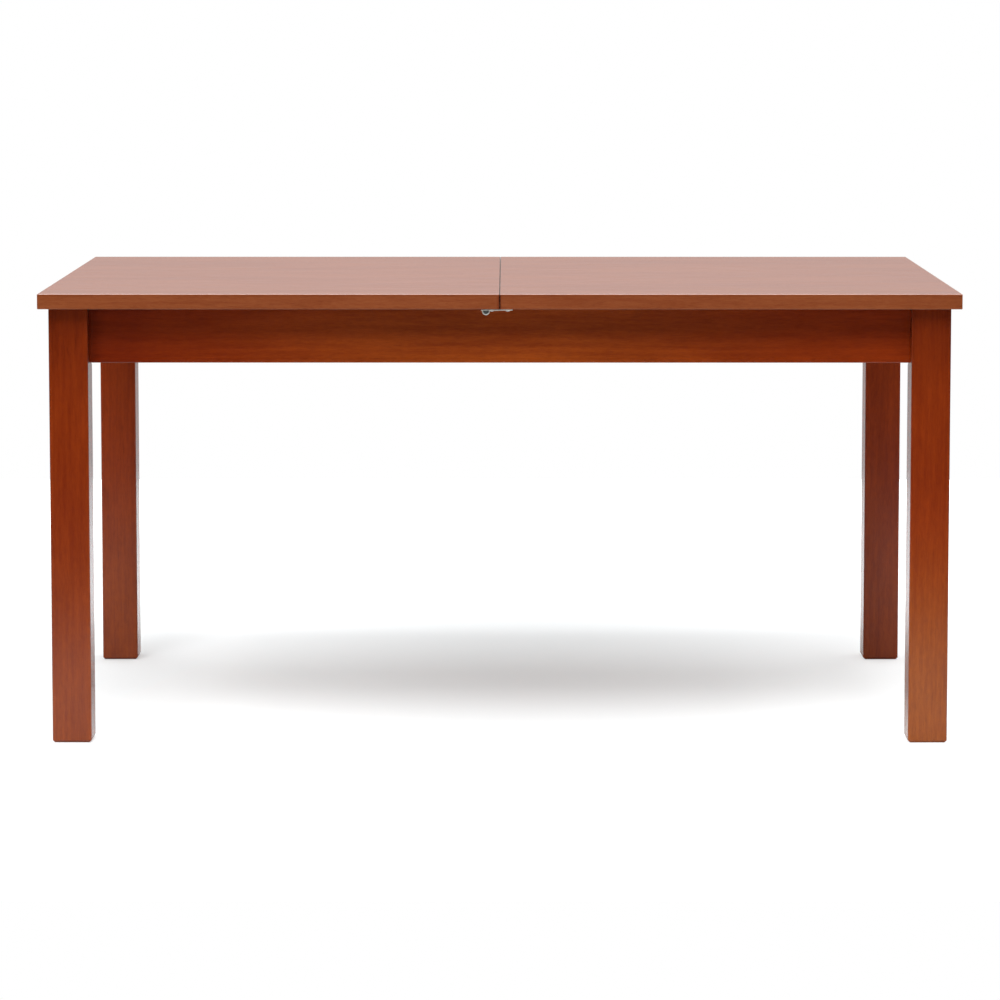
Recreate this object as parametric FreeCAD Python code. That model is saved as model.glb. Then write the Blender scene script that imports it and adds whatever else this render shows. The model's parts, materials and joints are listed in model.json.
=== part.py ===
import FreeCAD, Part
import math
import os

from FreeCAD import Vector

# Extending dining table with a fixed four-legged frame. The top is cut in two at the middle; each half
# runs outwards on two dovetailed runners, and a folded leaf is stored in the bay between the cross rails.
# Millimetres. X runs along the table, Y from the front edge to the rear edge, Z up, with the origin on
# the floor under the middle of the closed top. One half of the top is the other turned half round Z.

# Whole table
table_length = 1500.0
table_depth = 900.0
table_height = 740.0
top_thickness = 25.0
top_overhang = 16.0
top_edge_round = 1.5
top_lower_bevel = 0.8
seam_gap = 0.8
leaf_width = 400.0
slide_gap = 0.5
cut_overrun = 2.0

# Small round things are cut as many-sided bars: the corners of a buried one are on the true radius, and
# the flats of a visible one are
screw_sides = 6
pin_sides = 12
disc_sides = 24
nearly_parallel = 0.999

# Legs, with a flat planed on the inner corner for the hanger bolt
leg_side = 64.0
leg_edge_round = 2.5
foot_chamfer = 4.0
leg_flat_cut = 8.0
leg_flat_drop = 6.0

# Aprons and their stub tenons in the legs
apron_height = 90.0
apron_thickness = 22.0
apron_setback = 22.0
apron_edge_round = 1.5
tenon_length = 18.0
tenon_thickness = 10.0
tenon_shoulder = 10.0
joint_clearance = 0.1

# Corner blocks, hanger bolts, and the screws through the blocks' ends
block_thickness = 22.0
block_height = 40.0
block_rise = 1.5
block_leg_gap = 12.0
bolt_radius = 4.0
bolt_in_leg = 36.0
bolt_hole_clearance = 0.5
bolt_tail = 5.0
bolt_end_bevel = 1.0
washer_radius = 9.0
washer_thickness = 1.6
nut_across_flats = 13.0
nut_height = 6.5
nut_sides = 6
wood_screw_radius = 2.0
wood_screw_head_radius = 4.2
wood_screw_head_height = 2.4
screw_hole_clearance = 0.1
head_top_share = 0.7
block_screw_inset = 12.0
block_screw_recess = 5.0
block_screw_bite = 16.0
block_screw_spread = 10.0

# Dovetailed slide beams fixed to the frame, and the runners of the two halves beside them
beam_width = 30.0
beam_height = 42.0
beam_end_past_rail = 86.0
runner_width = 22.0
runner_leg_gap = 2.5
runner_side_gap = 0.5
runner_apron_gap = 10.0
runner_centre_gap = 20.0
runner_end_bevel = 6.0
dovetail_root = 12.0
dovetail_tip = 16.0
dovetail_depth = 8.0
dovetail_clearance = 0.3
runner_screw_recess = 20.0
runner_screw_bite = 15.0
runner_screw_inset = 60.0
runner_screws_each = 3
stop_length = 20.0
stop_height = 16.0
stop_clearance = 0.3
stop_bevel = 1.5
stroke_spare = 5.0

# Cross rails, stepped down under the slide beams
rail_thickness = 22.0
rail_bay_gap = 12.0
rail_rise = 4.0
rail_top_gap = 1.0
rail_step_gap = 4.5
rail_step_bevel = 6.0
rail_tenon_length = 8.0
rail_tenon_shoulder = 6.0
beam_screw_recess = 18.0
beam_screw_bite = 30.0

# Folding leaf: the upper half hangs on the pivots, the lower half is hinged to it
leaf_fold_gap = 0.6
leaf_top_gap = 15.0
leaf_end_gap = 0.3

# Battens that the folded leaf rests on
batten_height = 18.0
batten_under_leaf = 8.0
batten_rest_gap = 0.3
batten_end_share = 0.96
batten_near_share = 0.33
batten_screw_bite = 14.0
batten_screw_from_end = 24.0
batten_edge_bevel = 2.0

# Pivot of the leaf: brackets and pins on the leaf, bearing plates on the rails
pivot_pin_radius = 3.0
pivot_pin_clearance = 0.05
pivot_pin_past_plate = 4.0
pivot_pin_head_radius = 4.5
pivot_pin_head_height = 1.5
pivot_plate_thickness = 3.0
pivot_plate_width = 34.0
pivot_plate_height = 42.0
pivot_plate_top_gap = 1.0
pivot_plate_bevel = 5.0
pivot_plate_screw_drop = 12.0
pivot_plate_screw_pitch = 16.0
pivot_pocket_radius = 5.0
pivot_pocket_depth = 8.0
bracket_thickness = 2.5
bracket_length = 56.0
bracket_foot = 26.0
bracket_inset = 2.0
bracket_lug_width = 18.0
bracket_bevel = 5.0
bracket_screw_pitch = 36.0
plate_screw_radius = 1.75
plate_screw_head_radius = 3.5
plate_screw_head_height = 1.6
plate_screw_bite = 13.0

# Concealed fold hinges: two barrels and three links each
hinge_spacing = 260.0
barrel_radius = 7.0
barrel_length = 28.0
barrel_fit = 0.05
barrel_slot_width = 8.6
barrel_slot_depth = 9.0
link_count = 3
link_thickness = 2.4
link_pitch = 2.7
link_reach = 5.5
link_width = 3.6
link_bore_depth = 5.0
hinge_pin_radius = 1.0
hinge_pin_depth = 3.0
hinge_pin_end_gap = 0.6

# Alignment pins in the meeting edges
edge_pin_radius = 4.0
edge_pin_in_wood = 16.0
edge_pin_out = 9.0
edge_pin_taper = 2.5
edge_socket_clearance = 0.3
edge_socket_spare = 2.0
edge_pin_near_share = 0.3333
edge_pin_far_share = 0.7778

# Catch under the seam: a swinging hook on one half and a stud on the other
catch_edge_inset = 22.0
catch_pin_offset = 12.9
catch_plate_thickness = 2.0
catch_plate_width = 9.0
catch_pivot_end = 8.7
catch_tip_past_stud = 19.0
catch_washer_thickness = 1.2
catch_washer_radius = 4.5
catch_tab_width = 14.0
catch_tab_drop = 10.3
catch_tab_thickness = 2.4
catch_tab_dish = 1.2
catch_tab_rim = 1.5
catch_tab_past_tip = 0.2
catch_stud_radius = 1.75
catch_screw_head_radius = 3.5
catch_screw_head_height = 1.5
catch_screw_bite = 14.0
catch_slot_clearance = 0.45
catch_bore_clearance = 0.1
catch_head_gap = 0.2
catch_released_angle = 15.0

# Levels, worked out from the sizes above
underside = table_height - top_thickness
frame_top = underside - slide_gap
apron_bottom = frame_top - apron_height
beam_bottom = frame_top - beam_height
runner_bottom = underside - beam_height
dovetail_middle = (frame_top + beam_bottom) / 2
rail_bottom = apron_bottom + rail_rise
rail_top = underside - rail_top_gap
upper_leaf_top = underside - leaf_top_gap
upper_leaf_bottom = upper_leaf_top - top_thickness
lower_leaf_top = upper_leaf_bottom - leaf_fold_gap
lower_leaf_bottom = lower_leaf_top - top_thickness
pivot_height = (upper_leaf_top + underside) / 2
fold_height = (upper_leaf_bottom + lower_leaf_top) / 2

# Places along X
half_length = table_length / 2
leg_outer_x = half_length - top_overhang
leg_inner_x = leg_outer_x - leg_side
end_apron_outer = leg_outer_x - apron_setback
end_apron_inner = end_apron_outer - apron_thickness
half_leaf = leaf_width / 2
stroke = half_leaf + stroke_spare
rail_inner = half_leaf + rail_bay_gap
rail_outer = rail_inner + rail_thickness
rail_middle = (rail_inner + rail_outer) / 2
beam_half = rail_outer + beam_end_past_rail
runner_outer_end = end_apron_inner - runner_apron_gap - stroke
runner_inner_end = stroke - runner_centre_gap

# Places along Y
half_depth = table_depth / 2
leg_outer_y = half_depth - top_overhang
leg_inner_y = leg_outer_y - leg_side
long_apron_outer = leg_outer_y - apron_setback
long_apron_inner = long_apron_outer - apron_thickness
outer_runner_outer = leg_inner_y - runner_leg_gap
outer_runner_inner = outer_runner_outer - runner_width
beam_outer = outer_runner_inner - runner_side_gap
beam_inner = beam_outer - beam_width
beam_middle = (beam_outer + beam_inner) / 2
inner_runner_outer = beam_inner - runner_side_gap
inner_runner_inner = inner_runner_outer - runner_width
rail_step = inner_runner_inner - rail_step_gap
leaf_half_depth = half_depth / 2
pivot_y = leaf_half_depth / 2
fold_y = leaf_half_depth + leaf_end_gap

# Corner blocks lie across the diagonal between the inner faces of the aprons
corner_x = end_apron_inner
corner_y = long_apron_inner
root_two = math.sqrt(2)
leg_corner_reach = (corner_x - leg_inner_x + corner_y - leg_inner_y) / root_two
block_outer_reach = leg_corner_reach + block_leg_gap
block_inner_reach = block_outer_reach + block_thickness
block_bottom = apron_bottom + block_rise
block_top = block_bottom + block_height
bolt_height = (block_bottom + block_top) / 2

X_AXIS = Vector(1, 0, 0)
Y_AXIS = Vector(0, 1, 0)
Z_AXIS = Vector(0, 0, 1)
ORIGIN = Vector(0, 0, 0)


# Shape helpers
def block(x0, x1, y0, y1, z0, z1):
    return Part.makeBox(x1 - x0, y1 - y0, z1 - z0, Vector(x0, y0, z0))


def rod(radius, start, end):
    axis = end - start
    return Part.makeCylinder(radius, axis.Length, start, axis)


def ring_points(radius, centre, axis, sides):
    """A regular polygon round an axis; it is the same when the axis is turned end for end."""
    step = Vector(axis).normalize()
    across = X_AXIS if abs(step.x) < abs(step.y) + abs(step.z) else Y_AXIS
    u = (across - step * across.dot(step)).normalize()
    v = step.cross(u)
    points = []
    for n in range(sides):
        angle = 2 * math.pi * (n + 0.5) / sides
        points.append(centre + u * (radius * math.cos(angle)) + v * (radius * math.sin(angle)))
    return points


def flat_face(points):
    """A flat face; the points are vectors in one plane."""
    return Part.Face(Part.makePolygon(points + [points[0]]))


def disc(radius, start, end):
    """A short round piece with many flats, all at the true radius."""
    return bar(radius / math.cos(math.pi / disc_sides), start, end, disc_sides)


def prism(points, direction):
    """A flat outline swept along a direction."""
    return flat_face(points).extrude(direction)


def bar(radius, start, end, sides, end_radius=None):
    """A many-sided rod with flat faces, tapered where a second radius is given."""
    axis = end - start
    foot = ring_points(radius, start, axis, sides)
    if end_radius is None:
        return prism(foot, axis)
    top = ring_points(end_radius, end, axis, sides)
    faces = [flat_face(foot), flat_face(top)]
    for n in range(sides):
        after = (n + 1) % sides
        faces.append(flat_face([foot[n], foot[after], top[after], top[n]]))
    solid = Part.Solid(Part.Shell(faces))
    return solid if solid.Volume > 0 else solid.reversed()


def joined(shapes):
    return shapes[0].fuse(shapes[1:]).removeSplitter()


def less(shape, tools):
    """The shape with all the tools cut out of it; the tools may cross each other."""
    return shape.cut(tools)


def rounded(shape, radius, wanted):
    """Fillets the straight edges that the test picks out."""
    edges = [e for e in shape.Edges if isinstance(e.Curve, (Part.Line, Part.LineSegment)) and wanted(e)]
    return shape.makeFillet(radius, edges)


def bevelled(shape, size, wanted):
    """Chamfers the straight edges that the test picks out."""
    edges = [e for e in shape.Edges if isinstance(e.Curve, (Part.Line, Part.LineSegment)) and wanted(e)]
    return shape.makeChamfer(size, edges)


def along(edge, axis):
    a, b = (v.Point for v in edge.Vertexes)
    return abs((b - a).normalize().dot(axis)) > nearly_parallel


def mirror_x(shape):
    return shape.mirror(ORIGIN, X_AXIS)


def mirror_y(shape):
    return shape.mirror(ORIGIN, Y_AXIS)


def opposite(place):
    """The same place on the other half of the top."""
    return Vector(-place.x, -place.y, place.z)


def turned(shape, degrees=180, centre=ORIGIN, axis=Z_AXIS):
    copy = shape.copy()
    copy.rotate(centre, axis, degrees)
    return copy


def countersunk_screw(tip, head, radius, head_radius, head_height):
    """A screw from its tip to the flat top of its countersunk head."""
    neck = head - Vector(head - tip).normalize() * head_height
    return joined([
        bar(radius, tip, neck, screw_sides),
        bar(radius, neck, head, screw_sides, head_radius),
    ])


def pan_screw(tip, seat, radius, head_radius, head_height):
    """A screw from its tip to its seat, with a low head beyond the seat, narrower at its top."""
    top = seat + Vector(seat - tip).normalize() * head_height
    return joined([
        bar(radius, tip, seat, screw_sides),
        bar(head_radius, seat, top, screw_sides, head_radius * head_top_share),
    ])


# Legs and aprons
def leg():
    """The rear right leg: rounded edges, chamfered foot, two mortises, inner flat and bolt hole."""
    body = block(leg_inner_x, leg_outer_x, leg_inner_y, leg_outer_y, 0, frame_top)
    foot = [e for e in body.Edges if all(abs(v.Z) < joint_clearance for v in e.Vertexes)]
    body = body.makeChamfer(foot_chamfer, foot)
    body = rounded(body, leg_edge_round, lambda e: along(e, Z_AXIS))
    flat_bottom = apron_bottom - leg_flat_drop
    flat = prism(
        [
            Vector(leg_inner_x - cut_overrun, leg_inner_y - cut_overrun, flat_bottom),
            Vector(leg_inner_x + leg_flat_cut + cut_overrun, leg_inner_y - cut_overrun, flat_bottom),
            Vector(leg_inner_x - cut_overrun, leg_inner_y + leg_flat_cut + cut_overrun, flat_bottom),
        ],
        Vector(0, 0, frame_top - flat_bottom + cut_overrun),
    )
    grow = joint_clearance
    mortises = [
        tenon_for_long_apron(grow),
        tenon_for_end_apron(grow),
        bar(bolt_radius + grow, bolt_start(), bolt_point(0), pin_sides),
    ]
    return less(body, [flat] + mortises)


def tenon_for_long_apron(grow=0.0):
    middle = (long_apron_outer + long_apron_inner) / 2
    half = tenon_thickness / 2 + grow
    return block(
        leg_inner_x, leg_inner_x + tenon_length + grow, middle - half, middle + half,
        apron_bottom + tenon_shoulder - grow, frame_top - tenon_shoulder + grow,
    )


def tenon_for_end_apron(grow=0.0):
    middle = (end_apron_outer + end_apron_inner) / 2
    half = tenon_thickness / 2 + grow
    return block(
        middle - half, middle + half, leg_inner_y, leg_inner_y + tenon_length + grow,
        apron_bottom + tenon_shoulder - grow, frame_top - tenon_shoulder + grow,
    )


def rail_tenon(grow=0.0):
    """The stub tenon at the rear end of the right-hand cross rail."""
    return block(
        rail_inner + rail_tenon_shoulder - grow, rail_outer - rail_tenon_shoulder + grow,
        long_apron_inner, long_apron_inner + rail_tenon_length + grow,
        rail_bottom + rail_tenon_shoulder - grow, beam_bottom - rail_tenon_shoulder + grow,
    )


def long_apron():
    """The rear apron: tenoned into the legs, with a mortise for each cross rail on its inner face."""
    board = block(-leg_inner_x, leg_inner_x, long_apron_inner, long_apron_outer, apron_bottom, frame_top)
    board = rounded(board, apron_edge_round, lambda e: along(e, X_AXIS) and e.Vertexes[0].Z < bolt_height)
    tenon = tenon_for_long_apron()
    board = joined([board, tenon, mirror_x(tenon)])
    mortise = rail_tenon(joint_clearance)
    holes = block_screw_holes_long()
    return less(board, [mortise, mirror_x(mortise)] + holes + [mirror_x(h) for h in holes])


def end_apron():
    """The right-hand apron."""
    board = block(end_apron_inner, end_apron_outer, -leg_inner_y, leg_inner_y, apron_bottom, frame_top)
    board = rounded(board, apron_edge_round, lambda e: along(e, Y_AXIS) and e.Vertexes[0].Z < bolt_height)
    tenon = tenon_for_end_apron()
    board = joined([board, tenon, mirror_y(tenon)])
    holes = block_screw_holes_end()
    return less(board, holes + [mirror_y(h) for h in holes])


# Corner blocks, bolts and screws, all for the rear right corner
def bolt_point(reach):
    """A point on the bolt's axis, measured diagonally inwards from the corner of the leg."""
    step = reach / root_two
    return Vector(leg_inner_x - step, leg_inner_y - step, bolt_height)


def bolt_start():
    return bolt_point(-bolt_in_leg)


def block_seat():
    return bolt_point(block_inner_reach - leg_corner_reach)


def corner_block():
    outer = block_outer_reach * root_two
    inner = block_inner_reach * root_two
    body = prism(
        [
            Vector(corner_x - outer, corner_y, block_bottom),
            Vector(corner_x, corner_y - outer, block_bottom),
            Vector(corner_x, corner_y - inner, block_bottom),
            Vector(corner_x - inner, corner_y, block_bottom),
        ],
        Vector(0, 0, block_height),
    )
    through = block_seat() + bolt_inward() * cut_overrun
    hole = bar(bolt_radius + bolt_hole_clearance, bolt_start(), through, pin_sides)
    return less(body, [hole] + block_screw_holes_long() + block_screw_holes_end())


def bolt_inward():
    return Vector(-1, -1, 0).normalize()


def hanger_bolt():
    end = block_seat() + bolt_inward() * (washer_thickness + nut_height + bolt_tail)
    neck = end - bolt_inward() * bolt_end_bevel
    return joined([
        bar(bolt_radius, bolt_start(), neck, pin_sides),
        bar(bolt_radius, neck, end, pin_sides, bolt_radius - bolt_end_bevel),
    ])


def ring(outer, inner, start, height):
    end = start + bolt_inward() * height
    return bar(outer, start, end, pin_sides).cut(bar(inner, start, end, pin_sides))


def hanger_washer():
    return ring(washer_radius, bolt_radius + bolt_hole_clearance, block_seat(), washer_thickness)


def hanger_nut():
    """A hexagon nut on the bolt, over the washer."""
    start = block_seat() + bolt_inward() * washer_thickness
    end = start + bolt_inward() * nut_height
    across_corners = nut_across_flats / math.cos(math.pi / nut_sides)
    nut = bar(across_corners / 2, start, end, nut_sides)
    return nut.cut(bar(bolt_radius, start, end, pin_sides))


def block_screw_ends_long():
    """Head and tip of the two screws from the block into the long apron."""
    x = corner_x - block_inner_reach * root_two + block_screw_inset
    face = corner_x + corner_y - block_inner_reach * root_two - x
    head = face + block_screw_recess
    for z in (bolt_height - block_screw_spread, bolt_height + block_screw_spread):
        yield Vector(x, head, z), Vector(x, long_apron_inner + block_screw_bite, z)


def block_screw_ends_end():
    """Head and tip of the two screws from the block into the end apron."""
    y = corner_y - block_inner_reach * root_two + block_screw_inset
    face = corner_x + corner_y - block_inner_reach * root_two - y
    head = face + block_screw_recess
    for z in (bolt_height - block_screw_spread, bolt_height + block_screw_spread):
        yield Vector(head, y, z), Vector(end_apron_inner + block_screw_bite, y, z)


def screw_hole(head, tip, back_off):
    """The pilot hole of a countersunk screw, with a counterbore of the given length behind its head."""
    axis = Vector(tip - head).normalize()
    wide = wood_screw_head_radius + screw_hole_clearance
    narrow = wood_screw_radius + screw_hole_clearance
    return joined([
        bar(narrow, head, tip, screw_sides),
        bar(wide, head, head + axis * wood_screw_head_height, screw_sides, narrow),
        bar(wide, head - axis * back_off, head, screw_sides),
    ])


def block_screw_holes_long():
    return [screw_hole(head, tip, block_thickness) for head, tip in block_screw_ends_long()]


def block_screw_holes_end():
    return [screw_hole(head, tip, block_thickness) for head, tip in block_screw_ends_end()]


def block_screws():
    ends = list(block_screw_ends_long()) + list(block_screw_ends_end())
    return [wood_screw(head, tip) for head, tip in ends]


def wood_screw(head, tip):
    return countersunk_screw(
        tip, head, wood_screw_radius, wood_screw_head_radius, wood_screw_head_height
    )


# Cross rails and slide beams
def cross_rail():
    """The right-hand rail: low under the slide beams, high between them where it carries the pivot."""
    outline = [
        Vector(rail_inner, -long_apron_inner, rail_bottom),
        Vector(rail_inner, long_apron_inner, rail_bottom),
        Vector(rail_inner, long_apron_inner, beam_bottom),
        Vector(rail_inner, rail_step, beam_bottom),
        Vector(rail_inner, rail_step, rail_top),
        Vector(rail_inner, -rail_step, rail_top),
        Vector(rail_inner, -rail_step, beam_bottom),
        Vector(rail_inner, -long_apron_inner, beam_bottom),
    ]
    body = prism(outline, X_AXIS * rail_thickness)
    body = bevelled(
        body, rail_step_bevel,
        lambda e: along(e, X_AXIS) and e.Vertexes[0].Z > dovetail_middle,
    )
    tenon = rail_tenon()
    body = joined([body, tenon, mirror_y(tenon)])
    pocket = bar(
        pivot_pocket_radius, Vector(rail_inner, pivot_y, pivot_height),
        Vector(rail_inner + pivot_pocket_depth, pivot_y, pivot_height), pin_sides,
    )
    mouth = block(
        rail_inner, rail_inner + pivot_pocket_depth, pivot_y - pivot_pocket_radius,
        pivot_y + pivot_pocket_radius, pivot_height, rail_top + cut_overrun,
    )
    holes = [screw_hole(head, tip, cut_overrun + beam_screw_recess) for head, tip in beam_screw_ends()]
    holes += [plate_screw_hole(seat, tip) for seat, tip in pivot_plate_screw_ends()]
    holes += [screw_hole(head, tip, cut_overrun) for head, tip in batten_screw_ends()]
    return less(body, [pocket, mouth] + holes)


def beam_screw_ends():
    for side in (-1, 1):
        y = side * beam_middle
        yield (
            Vector(rail_middle, y, rail_bottom + beam_screw_recess),
            Vector(rail_middle, y, beam_bottom + beam_screw_bite),
        )


def beam_screws():
    right = [wood_screw(head, tip) for head, tip in beam_screw_ends()]
    return right + [mirror_x(s) for s in right]


def dovetail(side_y, way, x0, x1, grow=0.0):
    """The tongue on a face at side_y, widening towards its tip; way is the side that it points to."""
    root = dovetail_root / 2 + grow
    tip = dovetail_tip / 2 + grow
    end = side_y + way * (dovetail_depth + grow)
    points = [
        Vector(x0, side_y, dovetail_middle - root),
        Vector(x0, end, dovetail_middle - tip),
        Vector(x0, end, dovetail_middle + tip),
        Vector(x0, side_y, dovetail_middle + root),
    ]
    return prism(points, X_AXIS * (x1 - x0))


def slide_beam():
    """The rear beam, grooved on both sides and screwed down on the cross rails."""
    body = block(-beam_half, beam_half, beam_inner, beam_outer, beam_bottom, frame_top)
    start, end = -beam_half - cut_overrun, beam_half + cut_overrun
    grooves = [
        dovetail(outer_runner_inner, -1, start, end, dovetail_clearance),
        dovetail(inner_runner_outer, 1, start, end, dovetail_clearance),
    ]
    holes = [screw_hole(head, tip, cut_overrun) for head, tip in beam_screw_ends()]
    holes += [mirror_x(h) for h in holes]
    return less(body, grooves + holes)


# The top's two halves; every piece here belongs to the left half
def edge_pin_places():
    """Y of the left half's own pins, and of its sockets for the other half's pins."""
    near = half_depth * edge_pin_near_share
    far = half_depth * edge_pin_far_share
    return (-far, near), (far, -near)


def edge_pin(x, way, y, z):
    """A round pin glued into the edge at x, standing out towards way."""
    start = Vector(x - way * edge_pin_in_wood, y, z)
    end = Vector(x + way * edge_pin_out, y, z)
    neck = Vector(end.x - way * edge_pin_taper, y, z)
    return joined([
        bar(edge_pin_radius, start, neck, pin_sides),
        bar(edge_pin_radius, neck, end, pin_sides, edge_pin_radius * head_top_share),
    ])


def edge_pin_hole(x, way, y, z):
    inside = Vector(x - way * edge_pin_in_wood, y, z)
    return bar(edge_pin_radius, inside, Vector(x + way * cut_overrun, y, z), pin_sides)


def edge_socket(x, way, y, z):
    inside = Vector(x - way * (edge_pin_out + edge_socket_spare), y, z)
    mouth = Vector(x + way * cut_overrun, y, z)
    return bar(edge_pin_radius + edge_socket_clearance, inside, mouth, pin_sides)


def runner_span(inner):
    """Low and high Y of a runner of the left half: the front one is outside its beam, the rear inside."""
    if inner:
        return inner_runner_inner, inner_runner_outer
    return -outer_runner_outer, -outer_runner_inner


def runner_screw_ends(inner):
    low, high = runner_span(inner)
    y = (low + high) / 2
    first = -runner_outer_end + runner_screw_inset
    last = -seam_gap / 2 - runner_screw_inset
    pitch = (last - first) / (runner_screws_each - 1)
    for n in range(runner_screws_each):
        x = first + pitch * n
        yield Vector(x, y, runner_bottom + runner_screw_recess), Vector(x, y, underside + runner_screw_bite)


def top_panel():
    """The left half: a veneered board with eased edges, sockets, and pilot holes for what it carries."""
    edge = -seam_gap / 2
    board = block(-half_length, edge, -half_depth, half_depth, underside, table_height)
    low = [e for e in board.Edges if all(abs(v.Z - underside) < joint_clearance for v in e.Vertexes)]
    board = board.makeChamfer(top_lower_bevel, low)
    rim = [e for e in board.Edges if all(abs(v.Z - table_height) < joint_clearance for v in e.Vertexes)]
    board = board.makeFillet(top_edge_round, rim)
    middle = underside + top_thickness / 2
    pins, sockets = edge_pin_places()
    holes = [edge_pin_hole(edge, 1, y, middle) for y in pins]
    holes += [edge_socket(edge, 1, y, middle) for y in sockets]
    for inner in (False, True):
        holes += [screw_hole(head, tip, cut_overrun) for head, tip in runner_screw_ends(inner)]
    holes.append(pilot(catch_stud_place(), catch_stud_radius))
    holes.append(pilot(opposite(catch_pivot_place()), catch_stud_radius))
    return less(board, holes)


def pilot(place, radius):
    tip = Vector(place.x, place.y, underside + catch_screw_bite)
    return bar(radius, Vector(place.x, place.y, underside), tip, screw_sides)


def runner(inner):
    """A hardwood runner with a dovetailed tongue, screwed under the left half."""
    low, high = runner_span(inner)
    start, end = -runner_outer_end, runner_inner_end
    body = block(start, end, low, high, runner_bottom, underside)
    body = bevelled(
        body, runner_end_bevel,
        lambda e: along(e, Y_AXIS) and e.Vertexes[0].Z < dovetail_middle,
    )
    tongue = dovetail(high, 1, start + runner_end_bevel, end - runner_end_bevel)
    relief = block(
        -seam_gap / 2, end + cut_overrun, low - cut_overrun, high + cut_overrun,
        frame_top, underside + cut_overrun,
    )
    back_off = runner_screw_recess + cut_overrun
    holes = [screw_hole(head, tip, back_off) for head, tip in runner_screw_ends(inner)]
    return less(joined([body, tongue]), [relief] + holes)


def stop_block(inner):
    """Hits the cross rail at the end of the stroke, so that the half can't run off its beams."""
    low, high = runner_span(inner)
    start = stroke - rail_inner + stop_clearance
    body = block(start, start + stop_length, low, high, runner_bottom - stop_height, runner_bottom)
    return bevelled(body, stop_bevel, lambda e: along(e, Y_AXIS) and e.Vertexes[0].Z < runner_bottom)


def pieces_of_left_half():
    edge = -seam_gap / 2
    middle = underside + top_thickness / 2
    pins, _ = edge_pin_places()
    screws = [wood_screw(head, tip) for i in (False, True) for head, tip in runner_screw_ends(i)]
    return {
        "top_panel": top_panel(),
        "runner_outer": runner(False),
        "runner_inner": runner(True),
        "stop_blocks": Part.makeCompound([stop_block(False), stop_block(True)]),
        "runner_screws": Part.makeCompound(screws),
        "edge_pins": Part.makeCompound([edge_pin(edge, 1, y, middle) for y in pins]),
        "catch_stud": catch_stud(),
    }


# Catch under the front edge: the stud is on the left half, the hook swings on the right half
def catch_stud_place():
    return Vector(-catch_pin_offset, -half_depth + catch_edge_inset, underside)


def catch_pivot_place():
    return Vector(catch_pin_offset, -half_depth + catch_edge_inset, underside)


def catch_seat():
    """Height of the hook's underside, which the screw heads keep a running gap from."""
    return underside - catch_washer_thickness - catch_plate_thickness - catch_head_gap


def catch_screw(place):
    """A shouldered screw driven up into the top; its round head hangs below the level of the hook."""
    tip = Vector(place.x, place.y, underside + catch_screw_bite)
    wood = Vector(place.x, place.y, underside)
    seat = Vector(place.x, place.y, catch_seat())
    low = seat - Z_AXIS * catch_screw_head_height
    return joined([
        bar(catch_stud_radius, tip, wood, screw_sides),
        rod(catch_stud_radius, wood, seat),
        disc(catch_screw_head_radius, seat, low),
    ])


def catch_stud():
    return catch_screw(catch_stud_place())


def catch_washer():
    place = catch_pivot_place()
    low = Vector(place.x, place.y, underside - catch_washer_thickness + catch_head_gap)
    whole = bar(catch_washer_radius, low, place, pin_sides)
    return whole.cut(bar(catch_stud_radius + catch_slot_clearance, low, place, pin_sides))


def catch_hook():
    """The hook as it is when it holds the stud, then swung forwards just far enough to free it."""
    pivot = catch_pivot_place()
    stud = catch_stud_place()
    top = underside - catch_washer_thickness
    low = top - catch_plate_thickness
    half = catch_plate_width / 2
    arm = pivot.x - stud.x
    tip_x = stud.x - catch_tip_past_stud
    plate = joined([
        block(tip_x + half, pivot.x + catch_pivot_end - half, pivot.y - half, pivot.y + half, low, top),
        disc(half, Vector(tip_x + half, pivot.y, low), Vector(tip_x + half, pivot.y, top)),
        disc(half, Vector(pivot.x + catch_pivot_end - half, pivot.y, low),
             Vector(pivot.x + catch_pivot_end - half, pivot.y, top)),
    ])
    slot_half = catch_stud_radius + catch_slot_clearance
    middle = Vector(pivot.x, pivot.y, low)
    band = rod(arm + slot_half, middle, middle + Z_AXIS * catch_plate_thickness)
    band = band.cut(rod(arm - slot_half, middle, middle + Z_AXIS * catch_plate_thickness))
    behind = block(tip_x, stud.x + arm / 2, pivot.y, pivot.y + catch_plate_width, low, top)
    seat = rod(slot_half, Vector(stud.x, stud.y, low), Vector(stud.x, stud.y, top))
    bore = rod(catch_stud_radius + catch_bore_clearance, middle, Vector(pivot.x, pivot.y, top))
    plate = less(plate, [band.common(behind), seat, bore])
    hook = joined([plate, catch_tab(tip_x, pivot.y - half, top)])
    return turned(hook, catch_released_angle, pivot, Z_AXIS)


def catch_tab(tip_x, front, top):
    """The half-round thumb tab bent down from the hook's front edge, dished inside a raised rim."""
    half = catch_tab_width / 2
    left = tip_x - catch_tab_past_tip
    middle = left + half
    centre = underside - catch_tab_drop + half
    base = front - catch_tab_thickness + catch_tab_dish

    def outline(radius, y0, y1):
        whole = disc(radius, Vector(middle, y0, centre), Vector(middle, y1, centre))
        lower = whole.common(block(middle - radius, middle + radius, y0, y1, centre - radius, centre))
        neck = block(middle - radius, middle + radius, y0, y1, centre, top - (half - radius))
        return joined([lower, neck])

    body = outline(half, base - catch_tab_dish, base + catch_tab_thickness)
    dish = outline(half - catch_tab_rim, base - catch_tab_dish - cut_overrun, base)
    return body.cut(dish)


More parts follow.
